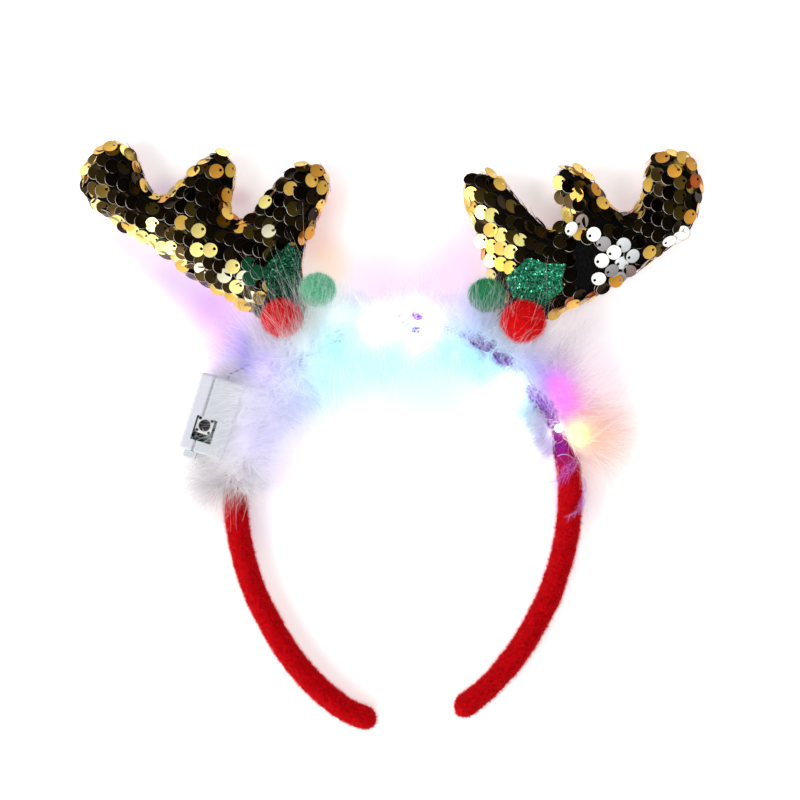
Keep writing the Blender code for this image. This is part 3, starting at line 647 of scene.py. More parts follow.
def rim_material():
    """Cut edge of a sequin: bright where it faces the light at the lower left."""
    nodes = Nodes("sequin_rim")
    normal = nodes.add("NewGeometry").outputs["Normal"]
    toward = nodes.add("VectorMath", {"operation": "DOT_PRODUCT"}, i0=normal, i1=(-0.62, -0.66, 0.43))
    stops = ((0.45, (0.015, 0.012, 0.008)), (0.9, (0.52, 0.49, 0.42)))
    colour = nodes.ramp(toward.outputs["Value"], stops)
    return nodes.principled(Base_Color=colour, Metallic=0.3, Roughness=0.35)


# Objects and meshes

def add_object(name, data):
    thing = bpy.data.objects.new(name, data)
    bpy.context.scene.collection.objects.link(thing)
    return thing


def mesh_object(name, work, material, placing=None):
    """Object of a bmesh, which is used up."""
    mesh = bpy.data.meshes.new(name)
    work.to_mesh(mesh)
    work.free()
    if placing is not None:
        mesh.transform(placing)
    mesh.materials.clear()
    mesh.materials.append(material)
    return add_object(name, mesh)


def dress(thing, slot, *nodes):
    """Fix a piece to the headband, and hide the nodes that it stands for; its slot is not used."""
    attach(thing, "headband")
    if nodes:
        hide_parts(*nodes)


def final(thing):
    """The piece with its modifiers at work."""
    return thing.evaluated_get(bpy.context.evaluated_depsgraph_get())


def points_of(mesh):
    places = np.empty(len(mesh.vertices) * 3)
    mesh.vertices.foreach_get("co", places)
    return places.reshape(-1, 3)


def paint(mesh, layer, colours):
    """Colour layer on the points of a mesh."""
    attribute = mesh.color_attributes.new(layer, "FLOAT_COLOR", "POINT")
    full = np.ones((len(mesh.vertices), 4), dtype=np.float32)
    full[:, :3] = colours
    attribute.data.foreach_set("color", full.ravel())


def array_mesh(name, places, faces, materials, layers, face_slots=None, smooth=True):
    """Mesh of equal-sided faces from arrays, with named colour layers on its points."""
    mesh = bpy.data.meshes.new(name)
    places = np.asarray(places, dtype=np.float32).reshape(-1, 3)
    faces = np.asarray(faces, dtype=np.int32)
    count, sides = faces.shape
    mesh.vertices.add(len(places))
    mesh.vertices.foreach_set("co", places.ravel())
    mesh.loops.add(count * sides)
    mesh.loops.foreach_set("vertex_index", faces.ravel())
    mesh.polygons.add(count)
    mesh.polygons.foreach_set("loop_start", np.arange(count, dtype=np.int32) * sides)
    if smooth:
        mesh.polygons.foreach_set("use_smooth", np.ones(count, dtype=bool))
    for material in materials:
        mesh.materials.append(material)
    if face_slots is not None:
        mesh.polygons.foreach_set("material_index", np.asarray(face_slots, dtype=np.int32))
    mesh.update(calc_edges=True)
    for layer, colours in layers.items():
        paint(mesh, layer, colours)
    return add_object(name, mesh)


def unit(vectors):
    return vectors / np.maximum(np.linalg.norm(vectors, axis=-1, keepdims=True), 1e-9)


def ribbons(paths, widths, sides):
    """Points and faces of tapered ribbons along paths of shape (count, steps, 3)."""
    count, steps, _ = paths.shape
    half = sides * widths[..., None] / 2
    places = np.stack((paths - half, paths + half), axis=2).reshape(-1, 3)
    first = np.arange(count)[:, None] * steps * 2 + np.arange(steps - 1)[None, :] * 2
    faces = np.stack((first, first + 1, first + 3, first + 2), axis=-1).reshape(-1, 4)
    return places, faces


def bent_paths(roots, directions, lengths, bends, steps):
    """Points along strands that leave along a direction and bend away from it."""
    u = np.linspace(0.0, 1.0, steps)[None, :, None]
    reach = lengths[:, None, None]
    return roots[:, None, :] + reach * (directions[:, None, :] * u + bends[:, None, :] * u * u)


def scatter(thing, count, rng, keep=None):
    """Random places on a mesh's surface by area, with normals."""
    evaluated = final(thing)
    mesh = evaluated.to_mesh()
    mesh.calc_loop_triangles()
    corners = points_of(mesh)
    triangles = np.empty(len(mesh.loop_triangles) * 3, dtype=np.int32)
    mesh.loop_triangles.foreach_get("vertices", triangles)
    triangles = triangles.reshape(-1, 3)
    evaluated.to_mesh_clear()
    a, b, c = (corners[triangles[:, i]] for i in range(3))
    cross = np.cross(b - a, c - a)
    area = np.linalg.norm(cross, axis=1)
    normals = cross / np.maximum(area[:, None], 1e-12)
    if keep is not None:
        area = area * keep((a + b + c) / 3, normals)
    pick = rng.choice(len(area), size=count, p=area / area.sum())
    u, v = rng.random(count), rng.random(count)
    flip = u + v > 1
    u[flip], v[flip] = 1 - u[flip], 1 - v[flip]
    places = a[pick] + (b - a)[pick] * u[:, None] + (c - a)[pick] * v[:, None]
    return places, normals[pick]


def nap(name, thing, count, length, width, lean, material, tone, rng, keep=None):
    """Short pile on a surface: one tapered triangle a hair."""
    roots, normals = scatter(thing, count, rng, keep)
    directions = unit(normals + lean * rng.normal(size=(count, 3)))
    reach = length * rng.uniform(0.45, 1.2, count)
    side = unit(np.cross(directions, rng.normal(size=(count, 3))))
    tips = roots + directions * reach[:, None] + 0.25 * reach[:, None] * rng.normal(size=(count, 3))
    places = np.stack((roots - side * width / 2, roots + side * width / 2, tips), axis=1).reshape(-1, 3)
    places[:, 2] = np.maximum(places[:, 2], 0.0001)
    faces = np.arange(count * 3).reshape(-1, 3)
    shade = tone(roots) if callable(tone) else np.tile(tone, (count, 1))
    shade = shade * rng.uniform(0.6, 1.25, (count, 1))
    layers = {"shade": np.repeat(shade, 3, axis=0), "glow": np.zeros((count * 3, 3))}
    return array_mesh(name, places, faces, [material], layers)


def smooth_copy(node, name, levels, material):
    """A finer, rounded copy of a CAD node's mesh."""
    work = bmesh.new()
    work.from_mesh(node.data)
    bmesh.ops.remove_doubles(work, verts=work.verts, dist=0.00001)
    limits = dict.fromkeys(("angle_face_threshold", "angle_shape_threshold"), math.radians(40))
    bmesh.ops.join_triangles(work, faces=work.faces, **limits)
    thing = mesh_object(name, work, material)
    thing.data.shade_smooth()
    round_off(thing, levels)
    return thing


def apply_modifiers(thing):
    mesh = bpy.data.meshes.new_from_object(final(thing))
    thing.modifiers.clear()
    thing.data = mesh


def round_off(thing, levels):
    """Finer mesh, rounded between its points."""
    rounded = thing.modifiers.new("rounded", "SUBSURF")
    rounded.levels = levels
    rounded.render_levels = levels
    apply_modifiers(thing)


def shrink(thing, depth):
    """Move every point of a mesh inward along its normal."""
    for vertex, normal in [(v, v.normal.copy()) for v in thing.data.vertices]:
        vertex.co -= normal * depth
    thing.data.update()


def stuff(thing, voxel, most):
    """Fill a padded piece as cloth: pressure puffs it up while its side seam is held."""
    rounded = thing.modifiers.new("even_mesh", "REMESH")
    rounded.mode = "VOXEL"
    rounded.voxel_size = voxel
    apply_modifiers(thing)
    thing.data.shade_smooth()
    heights = [vertex.co.z for vertex in thing.data.vertices]
    seam_z = (min(heights) + max(heights)) / 2
    seam = thing.vertex_groups.new(name="seam")
    seam.add([i for i, z in enumerate(heights) if abs(z - seam_z) < voxel / 2], 1.0, "ADD")
    cloth = thing.modifiers.new("filling", "CLOTH")
    cloth.settings.use_pressure = True
    cloth.settings.uniform_pressure_force = CLOTH_PRESSURE
    cloth.settings.effector_weights.gravity = 0.0
    cloth.settings.vertex_group_mass = "seam"
    cloth.settings.shrink_min = -CLOTH_SLACK
    scene = bpy.context.scene
    for number in range(1, CLOTH_FRAMES + 1):
        scene.frame_set(number)
    settled = [vertex.co.copy() for vertex in final(thing).data.vertices]
    thing.modifiers.clear()
    for vertex, place in zip(thing.data.vertices, settled):
        move = place - vertex.co
        if move.length > most:
            move *= most / move.length
        vertex.co += move
        vertex.co.z = max(vertex.co.z, FLOOR_ROOM)
    scene.frame_set(1)
    round_off(thing, 1)


def padded_piece(name, node, material, slot, room, grid, puff, fill):
    """Stuffed fabric in place of a CAD node, a little inside it where something lies on it."""
    thing = smooth_copy(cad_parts[node], name, 2, material)
    if room:
        shrink(thing, room)
    stuff(thing, grid, puff)
    dress(thing, slot, node)
    return thing


# The lit band under the fur

class Band:
    """Centreline of the arc, worked out from the headband's box."""

    def __init__(self):
        low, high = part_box("headband")
        self.radius = (high.x - low.x - BAND_THICKNESS) / 2
        self.x = (low.x + high.x) / 2
        self.y = high.y - self.radius - BAND_THICKNESS / 2
        self.low_y = low.y + BAND_THICKNESS / 2
        self.low_z = low.z + BAND_HEIGHT / 2
        self.rise = high.z - BAND_HEIGHT / 2 - self.low_z

    def lie(self, y):
        return self.low_z + self.rise * (y - self.low_y) / (self.y + self.radius - self.low_y)

    def centres(self, angles):
        x = self.x + self.radius * np.sin(angles)
        y = self.y + self.radius * np.cos(angles)
        return np.stack((x, y, self.lie(y)), axis=-1)


def middle_of(node):
    low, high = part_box(node)
    return (low + high) / 2


def led_glow(places):
    """Light that the beads lend to fur or velour near them."""
    total = np.zeros((len(places), 3))
    for centre, (*colour, power, reach) in zip(LEDS, LED_COLOURS):
        away = np.hypot(places[:, 0] - centre[0], places[:, 1] - centre[1]) / reach
        total += (power * np.exp(-away * away))[:, None] * np.array(colour)
    return total


def nearness(places, x, y, reach):
    """How near places are to one of the photograph: 1 there, fading over a reach in pixels."""
    centre = at_photo(x, y)
    away = np.hypot(places[:, 0] - centre.x, places[:, 1] - centre.y) / (reach * PHOTO_SCALE)
    return np.exp(-away * away)[:, None]


def fur_wash(places):
    total = np.zeros((len(places), 3))
    for x, y, reach, *colour in FUR_WASH:
        total += nearness(places, x, y, reach) * np.array(colour)
    return total


def tinted(places, colours, rows, blend):
    """Colours drawn toward each row's own near its place."""
    result = np.array(colours, dtype=float)
    if result.ndim == 1:
        result = np.tile(result, (len(places), 1))
    for x, y, reach, *tint in rows:
        share = nearness(places, x, y, reach)
        if blend == "multiply":
            result *= 1 + (np.array(tint) - 1) * share
        else:
            result += (np.array(tint) - result) * share
    return result


def away_from_spots(paths, rng):
    """Which strands to keep: few cross a thin spot."""
    keep = np.ones(len(paths), dtype=bool)
    for x, y, reach in THIN_SPOTS:
        centre = at_photo(x, y)
        near = np.hypot(paths[..., 0] - centre.x, paths[..., 1] - centre.y) < reach * PHOTO_SCALE
        keep &= ~(near.any(axis=1) & (rng.random(len(paths)) < THIN_SHARE))
    return keep


def strand_arrays(paths, thick, rng, brightness):
    """Tapered ribbons for strands, with a shade for each of their points."""
    count, steps, _ = paths.shape
    taper = np.linspace(1.0, 0.3, steps)[None, :] * thick * rng.uniform(0.6, 1.4, (count, 1))
    facing = unit(np.cross(paths[:, -1] - paths[:, 0], rng.normal(size=(count, 3))))
    places, faces = ribbons(paths, taper, np.repeat(facing[:, None, :], steps, axis=1))
    tone = brightness if isinstance(brightness, np.ndarray) else rng.uniform(*brightness, count)
    shade = np.repeat(tone, steps * 2)[:, None] * np.ones((1, 3))
    places[:, 2] = np.maximum(places[:, 2], 0.0004)
    return places, faces, tinted(places, shade, FUR_TINTS, "multiply")


def fur_object(name, parts, material):
    """One piece of fur from several sets of strands."""
    starts = np.cumsum([0] + [len(part[0]) for part in parts[:-1]])
    places = np.concatenate([part[0] for part in parts])
    faces = np.concatenate([part[1] + first for part, first in zip(parts, starts)])
    shade = np.concatenate([part[2] for part in parts])
    glow = led_glow(places) + fur_wash(places) + shade * FUR_FILL
    piece = array_mesh(name, places, faces, [material], {"shade": shade, "glow": glow})
    dress(piece, "white_marabou", "fur_trim")


def on_band(band, angles, turns):
    """Places on the band's skin, with the directions away from its core and along it."""
    zeros = np.zeros(len(angles))
    outward = np.stack((np.sin(angles), np.cos(angles), zeros), axis=-1)
    tangent = np.stack((np.cos(angles), -np.sin(angles), zeros), axis=-1)
    up = np.array((0.0, 0.0, 1.0))
    across = outward * np.cos(turns)[:, None]
    above = up * np.sin(turns)[:, None]
    roots = band.centres(angles) + 0.9 * (across * BAND_THICKNESS / 2 + above * BAND_HEIGHT / 2)
    return roots, across, above, tangent


def make_fur_piece(name, low_angle, high_angle, band, material, rng):
    """Marabou round the band: plumes, each a fan of long fine barbs, over short down."""
    angles = rng.uniform(low_angle, high_angle, PLUME_COUNT)
    along = (angles - FUR_LEFT_ANGLE) / (FUR_RIGHT_ANGLE - FUR_LEFT_ANGLE)
    turns = rng.uniform(math.radians(-22), math.radians(202), PLUME_COUNT)
    cos_turn, sin_turn = np.cos(turns), np.sin(turns)
    roots, across, above, tangent = on_band(band, angles, turns)
    side = [eased(a, FUR_FORM, 1 if c > 0 else 2) for a, c in zip(along, cos_turn)]
    side = np.array(side) * np.where(cos_turn > 0, FLUFF_OUTWARD, FLUFF_INWARD)
    top = np.array([eased(a, FUR_FORM, 3) for a in along]) * FLUFF_TOP
    top = np.where(sin_turn < 0, BAND_HEIGHT / 4, top)
    lengths = np.hypot(side * cos_turn, top * sin_turn) * rng.uniform(0.6, 1.2, PLUME_COUNT) + 0.002
    lean = rng.normal(0, 0.5, PLUME_COUNT)
    lean += END_LEAN * (np.clip((along - 0.86) / 0.14, 0, 1) - np.clip(1 - along / 0.1, 0, 1))
    directions = unit(across + above * 0.85 + tangent * lean[:, None])
    directions = unit(directions + rng.normal(0, 0.12, (PLUME_COUNT, 3)))
    curls = rng.normal(0, 0.25, (PLUME_COUNT, 3)) - np.array((0.0, 0.0, 0.2))

    owner = np.repeat(np.arange(PLUME_COUNT), BARBS_A_PLUME)
    count = len(owner)
    start = rng.uniform(0.0, 0.4, count)
    base = roots[owner] + directions[owner] * (lengths[owner] * start)[:, None]
    barb_directions = unit(directions[owner] + rng.normal(0, 0.3, (count, 3)))
    barb_lengths = lengths[owner] * (1 - start * 0.6) * rng.uniform(0.55, 1.15, count)
    barb_bends = curls[owner] * 0.8 + rng.normal(0, 0.14, (count, 3))
    barbs = bent_paths(base, barb_directions, barb_lengths, barb_bends, 4)
    tones = rng.uniform(*PLUME_TONES, PLUME_COUNT)[owner] * rng.uniform(0.9, 1.0, count)
    kept = away_from_spots(barbs, rng)
    barbs, tones = barbs[kept], tones[kept]
    broad = rng.random(len(barbs)) < BROAD_SHARE

    down_angles = rng.uniform(low_angle, high_angle, DOWN_COUNT)
    down_turns = rng.uniform(math.radians(-30), math.radians(210), DOWN_COUNT)
    down_roots, across, above, _ = on_band(band, down_angles, down_turns)
    down_directions = unit(across + above + rng.normal(0, 0.7, (DOWN_COUNT, 3)))
    down_lengths = DOWN_LENGTH * rng.uniform(0.6, 1.25, DOWN_COUNT)
    down = bent_paths(down_roots, down_directions, down_lengths, rng.normal(0, 0.4, (DOWN_COUNT, 3)), 3)
    down = down[away_from_spots(down, rng)]
    fur_object(name, [
        strand_arrays(barbs[~broad], BARB_WIDTH, rng, tones[~broad]),
        strand_arrays(barbs[broad], BROAD_BARB_WIDTH, rng, (0.98, 1.0)),
        strand_arrays(down, DOWN_WIDTH, rng, (0.88, 1.0)),
    ], material)


def make_wisps(material, rng):
    """Fine strands that lie over the leaves, pompoms, case and band."""
    parts = []
    for root_x, root_y, tip_x, tip_y, root_z, tip_z, spread, fan, count in WISPS:
        root = np.array(at_photo(root_x, root_y, root_z))
        reach = np.array(at_photo(tip_x, tip_y, tip_z)) - root
        span = np.linalg.norm(reach)
        roots = root + rng.normal(0, spread * PHOTO_SCALE, (count, 3)) * (1, 1, 0.3)
        aim = reach + rng.normal(0, fan, (count, 3)) * span * (1, 1, 0.15)
        aim = aim * rng.uniform(0.45, 1.2, (count, 1))
        lift = np.array((0.0, 0.0, 1.0)) * max(reach[2], 0.0) * 1.1
        sideways = rng.normal(0, 0.35, (count, 3)) * span * (1, 1, 0.1)
        u = np.linspace(0.0, 1.0, 7)[None, :, None]
        paths = roots[:, None, :] + aim[:, None, :] * u + (lift + sideways[:, None, :]) * u * (1 - u)
        parts.append(strand_arrays(paths, WISP_WIDTH, rng, (0.88, 1.0)))
    fur_object("marabou_wisps", parts, material)


def make_feathers(material, rng):
    """Loose feathers on the velour and the fur: a quill each, with barbs on both sides."""
    parts = []
    for start_x, start_y, end_x, end_y, height, thick, barb_pixels, count, *colour in FEATHERS:
        start = np.array(at_photo(start_x, start_y, height))
        end = np.array(at_photo(end_x, end_y, height))
        heading = unit(end - start)
        across = np.array((-heading[1], heading[0], 0.0))
        u = np.linspace(0.0, 1.0, 8)[:, None]
        quill = start + (end - start) * u + across * 0.0012 * u * (1 - u) * 4
        quill_arrays = strand_arrays(quill[None], thick, rng, (1.0, 1.0))
        share = rng.uniform(0.05, 1.0, count)
        side = rng.choice((-1.0, 1.0), count)[:, None]
        roots = start + (end - start) * share[:, None]
        roots += across * (0.0048 * share * (1 - share))[:, None]
        spread = rng.normal(0, 0.22, (count, 3)) * (1, 1, 0.3)
        directions = unit(heading * 0.9 + across * side * 0.75 + spread)
        lengths = barb_pixels * PHOTO_SCALE * rng.uniform(0.5, 1.15, count)
        bends = heading * 0.45 - np.array((0, 0, 0.12)) + rng.normal(0, 0.12, (count, 3))
        barbs = bent_paths(roots, directions, lengths, bends, 5)
        barb_arrays = strand_arrays(barbs, BARB_WIDTH, rng, (0.85, 1.0))
        for places, faces, shade in (quill_arrays, barb_arrays):
            parts.append((places, faces, shade * np.array(colour)))
    fur_object("marabou_feathers", parts, material)


def band_shade(places):
    return tinted(places, RED_PILE, BAND_TINTS, "mix")


def make_band(material, nap_material, rng):
    band = padded_piece("velour_band", "headband", material, "red_velour", 0.0, BAND_GRID, BAND_PUFF, 0.9)
    places = points_of(band.data)
    paint(band.data, "glow", BAND_GLOW * led_glow(places))
    paint(band.data, "shade", band_shade(places))
    hairs = (PILE_COUNT, PILE_LENGTH, NAP_WIDTH, 0.6)
    dress(nap("velour_pile", band, *hairs, nap_material, band_shade, rng), "red_velour")


# Antlers

def disc_template():
    """Closed disc with an off-centre hole: its points, faces and which faces are its rim."""
    turns = np.arange(SEQUIN_SIDES) * 2 * math.pi / SEQUIN_SIDES
    ring = np.stack((np.cos(turns), np.sin(turns)), axis=-1)
    hole = ring * HOLE_RADIUS + np.array((HOLE_OFFSET, 0.0))
    dip = -0.03
    rings = (
        # outline, height
        (hole, dip),
        (ring * 0.95, 0.0),
        (ring, -RIM_THICKNESS * 0.7),
        (hole, dip - RIM_THICKNESS),
    )
    n = SEQUIN_SIDES
    places = np.concatenate([np.column_stack((flat, np.full(n, height))) for flat, height in rings])
    faces = []
    for row in range(len(rings)):
        after = (row + 1) % len(rings)
        for i in range(n):
            k = (i + 1) % n
            faces.append((after * n + i, after * n + k, row * n + k, row * n + i))
    rim = np.repeat(np.arange(len(rings)) == 1, n)
    return places, np.array(faces), rim


def near_any(px, py, rows):
    return any(math.hypot(px - row[0], py - row[1]) < row[2] for row in rows)


def to_photo(place):
    px = OBJECT_MIDDLE[0] + place[0] / PHOTO_SCALE
    py = OBJECT_MIDDLE[1] - place[1] / PHOTO_SCALE
    return px, py


def disc_shade(px, py, normal, rng):
    # Painted reflection: in the bright zones and on most steep slopes, discs take lit gold, amber and
    # red-orange shades as if catching the light; elsewhere they mostly take dark shades that stand for
    # the dark room they mirror
    for x, y, reach, share in BRIGHT_ZONES:
        if math.hypot(px - x, py - y) < reach and rng.random() < share:
            return rng.choice(("bright", "gold", "pale", "bronze"), p=(0.57, 0.28, 0.0, 0.15))
    if normal.z < 0.62 and rng.random() < 0.6:
        return rng.choice(("rust", "amber", "gold", "bronze"), p=(0.15, 0.25, 0.45, 0.15))
    return rng.choice(("black", "brown", "olive", "bronze", "gold"), p=(0.47, 0.33, 0.14, 0.045, 0.015))


def flat_direction(angle):
    return Vector((math.cos(angle), math.sin(angle), 0))


def lay_rows(antler, tree, rng):
    """Discs in rows over the antler's front: hinge place, normal, direction and shade of each."""
    along = flat_direction(SEQUIN_ROW_SLOPE)
    low, high = (Vector(corner) for corner in (antler.bound_box[0], antler.bound_box[6]))
    middle = (low + high) / 2
    reach = (high - low).length / 2 + SEQUIN_ROW_PITCH
    across = Vector((-along.y, along.x, 0))
    discs = []
    rows = int(reach / SEQUIN_ROW_PITCH)
    columns = int(reach / SEQUIN_PITCH)
    for row in range(-rows, rows + 1):
        for column in range(-columns, columns + 1):
            shift = (column + 0.5 * (row % 2) + rng.normal(0, 0.06)) * SEQUIN_PITCH
            flat = middle + along * shift + across * (row * SEQUIN_ROW_PITCH + rng.normal(0, 0.0002))
            hit, normal, _, _ = tree.ray_cast(Vector((flat.x, flat.y, 0.1)), Vector((0, 0, -1)))
            if hit is None or normal.z < ROW_LIMIT:
                continue
            px, py = to_photo(hit)
            if not near_any(px, py, BARE_PATCH):
                axis = flat_direction(SEQUIN_AXIS + rng.normal(0, 0.1))
                discs.append((hit, normal, axis, disc_shade(px, py, normal, rng)))
    return discs


def fill_slopes(antler, node, discs, rng):
    """Discs on the steep sides, wherever the rows leave room."""
    axis = flat_direction(SEQUIN_AXIS)
    low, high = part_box(node)
    seam_z = (low.z + high.z) / 2

    def on_slope(centres, normals):
        steep = (normals[:, 2] > -0.05) & (normals[:, 2] < ROW_LIMIT + 0.1)
        return (steep & (centres[:, 2] > seam_z - 0.0005)).astype(float)

    places, normals = scatter(antler, SLOPE_TRIES, rng, on_slope)
    hinges = np.array([tuple(disc[0]) for disc in discs])
    for place, normal in zip(places, normals):
        if (np.linalg.norm(hinges - place, axis=1) < SLOPE_SPACING).any():
            continue
        px, py = to_photo(place)
        if near_any(px, py, BARE_PATCH):
            continue
        hinges = np.vstack((hinges, place))
        flat = Vector((normal[0], normal[1], 0)).normalized()
        tangent = Vector((-flat.y, flat.x, 0))
        tangent *= 1 if tangent.dot(axis) > 0 else -1
        direction = (tangent + axis * 0.6).normalized()
        discs.append((Vector(place), Vector(normal), direction, disc_shade(px, py, Vector(normal), rng)))


def disc_frame(hinge, normal, along, lift, roll, flipped):
    """Rotation of a disc whose thread hole sits at its hinge."""
    side = along if not flipped else -along
    right = (side - normal * side.dot(normal)).normalized()
    up = normal.cross(right)
    turn = Matrix((right, up, normal)).transposed()
    turn = turn @ Matrix.Rotation(lift, 3, "Y") @ Matrix.Rotation(roll, 3, "X")
    centre = hinge - turn @ Vector((HOLE_OFFSET * SEQUIN_RADIUS, 0, 0)) + normal * 0.0004
    return turn, centre


def make_sequins(name, discs, materials, rng):
    template, faces, rim = disc_template()
    places = []
    shades = []
    slots = []
    for hinge, normal, along, shade in discs:
        lift = rng.normal(0.075, 0.045)
        roll = rng.normal(0.02, 0.045)
        turn, centre = disc_frame(hinge, normal, along, lift, roll, shade in TURNED_OVER)
        spun = np.array(turn) @ template.T * SEQUIN_RADIUS
        places.append(spun.T + np.array(centre))
        *colour, slot = SEQUIN_SHADES[shade]
        tone = np.array(colour) * rng.uniform(0.8, 1.15)
        # Painted reflection: each disc is painted up to 22% darker toward one side and lighter toward the
        # other
        across = template[:, 0:1] * math.cos(1.9) + template[:, 1:2] * math.sin(1.9)
        shades.append(np.clip(tone * (1 - 0.22 * across), 0.0, 1.0))
        slots.append(np.where(rim, RIM_MATERIAL, slot))
    count = len(discs)
    all_faces = (faces[None] + (np.arange(count) * len(template))[:, None, None]).reshape(-1, 4)
    layers = {"shade": np.concatenate(shades)}
    piece = array_mesh(name, np.concatenate(places), all_faces, materials, layers, np.concatenate(slots))
    piece.data.set_sharp_from_angle(angle=math.radians(18))
    dress(piece, "gold_sequins")


def make_antler(side, cloth, plush_material, sequin_materials, rng):
    node = "antler_" + side
    form = (SEQUIN_ROOM, ANTLER_GRID, ANTLER_PUFF, 0.8)
    body = padded_piece("cloth_" + node, node, cloth, "gold_sequins", *form)
    tree = BVHTree.FromObject(body, bpy.context.evaluated_depsgraph_get())
    discs = lay_rows(body, tree, rng)
    fill_slopes(body, node, discs, rng)
    low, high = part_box(node)
    for px, py, shade in ((*place, shade) for shade, places in FEATURED.items() for place in places):
        start = at_photo(px, py, 0.1)
        if not low.x - 0.004 < start.x < high.x + 0.004:
            continue
        hit, normal, _, _ = tree.ray_cast(start, Vector((0, 0, -1)))
        if hit is None:
            hit, normal, _, _ = tree.find_nearest(at_photo(px, py, 0.016))
            normal = (normal + Vector((0, 0, 1.5))).normalized()
        axis = flat_direction(SEQUIN_AXIS + rng.normal(0, 0.12))
        toward_hinge = -axis if shade in TURNED_OVER else axis
        rise = 0.0011 if shade in ("white", "bright") else 0.0007
        hinge = hit + normal * rise + toward_hinge * HOLE_OFFSET * SEQUIN_RADIUS
        discs.append((hinge, normal, axis, shade))
    make_sequins("sequins_" + side, discs, sequin_materials, rng)

    def on_back(centres, normals):
        return (normals[:, 2] < -0.15).astype(float)

    hairs = (PLUSH_COUNT, PLUSH_LENGTH, NAP_WIDTH, 0.5)
    dress(nap("plush_back_" + side, body, *hairs, plush_material, PLUSH_RED, rng, on_back), "red_velour")


# Leaves, pompoms and the battery case

def make_leaf(side, base_material, flake_material, tone, rng):
    give_material("holly_leaf_" + side, base_material)

    def on_top(centres, normals):
        return (np.abs(normals[:, 2]) > 0.2) * 1.0 + 0.3

    count = FLAKE_COUNT
    roots, normals = scatter(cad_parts["holly_leaf_" + side], count, rng, on_top)
    size = rng.uniform(*FLAKE_SIZES, count)
    tilt = unit(normals + rng.normal(0, 0.45, (count, 3)))
    right = unit(np.cross(tilt, rng.normal(size=(count, 3))))
    up = np.cross(tilt, right)
    turns = np.arange(6) * math.pi / 3
    cos_turn, sin_turn = np.cos(turns)[None, :, None], np.sin(turns)[None, :, None]
    ring = right[:, None, :] * cos_turn + up[:, None, :] * sin_turn
    places = roots[:, None, :] + normals[:, None, :] * 0.0001 + ring * size[:, None, None]
    faces = np.arange(count * 6).reshape(-1, 6)
    shade = np.asarray(tone)[None, :] * rng.choice((0.12, 0.45, 1.0, 1.9), (count, 1))
    layers = {"shade": np.repeat(shade, 6, axis=0)}
    flakes = array_mesh("glitter_leaf_" + side, places, faces, [flake_material], layers, smooth=False)
    dress(flakes, "green_glitter" if side == "right" else "dark_green_glitter")


def make_pompom(name, tone, base_material, strand, rng):
    low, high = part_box(name)
    radius = (high - low).length / 2 / math.sqrt(3)
    work = bmesh.new()
    bmesh.ops.create_icosphere(work, subdivisions=5, radius=radius * 0.9)
    for vertex in work.verts:
        direction = vertex.co.normalized()
        lump = math.sin(direction.x * 9 + 1) * math.sin(direction.y * 8) * math.sin(direction.z * 9 + 2)
        vertex.co *= 1 + 0.07 * lump
        vertex.co.x *= 1.06
        vertex.co.y *= 0.96
    ball = mesh_object("pompom_" + name, work, base_material, Matrix.Translation(middle_of(name)))
    ball.data.shade_smooth()
    slot = "red_pompom" if "red" in name else "green_pompom"
    dress(ball, slot, name)
    hairs = (FUZZ_COUNT, radius * FUZZ_SHARE, FUZZ_WIDTH, 0.75)
    dress(nap("fuzz_" + name, ball, *hairs, strand, tone, rng), slot)


def give_material(node, material):
    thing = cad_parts[node]
    thing.data.materials.clear()
    thing.data.materials.append(material)


def plate_with_hole(work, half, hole, low, high, sides=32):
    """Square plate with blunt corners and a round hole, as four rings of points."""
    rings = []
    for square, height in ((False, high), (True, high), (True, low), (False, low)):
        ring = []
        for i in range(sides):
            turn = 2 * math.pi * i / sides
            x, y = math.cos(turn), math.sin(turn)
            reach = half / (abs(x) ** 8 + abs(y) ** 8) ** 0.125 if square else hole
            ring.append(work.verts.new((x * reach, y * reach, height)))
        rings.append(ring)
    for ring, following in zip(rings, rings[1:] + rings[:1]):
        for i in range(sides):
            k = (i + 1) % sides
            work.faces.new((ring[i], following[i], following[k], ring[k]))


def window_piece(name, shapes, material, slot, origin):
    """One mesh of small rounded parts seen in the case's window, placed from the button's axis."""
    work = bmesh.new()
    for kind, place, size in shapes:
        if kind == "plate":
            plate_with_hole(work, size[0] / 2, size[1] / 2, place[2], place[2] + size[2])
            continue
        if kind == "box":
            made = bmesh.ops.create_cube(work, size=1.0)["verts"]
        else:
            made = bmesh.ops.create_icosphere(work, subdivisions=3, radius=0.5)["verts"]
        bmesh.ops.scale(work, vec=size, verts=made)
        bmesh.ops.translate(work, vec=place, verts=made)
    placing = Matrix.Translation(origin) @ Matrix.Rotation(CASE_TURN, 4, "Z")
    thing = mesh_object(name, work, material, placing)
    blunt = thing.modifiers.new("blunt", "BEVEL")
    blunt.width = 0.00007
    blunt.segments = 2
    blunt.limit_method = "ANGLE"
    apply_modifiers(thing)
    dress(thing, slot)


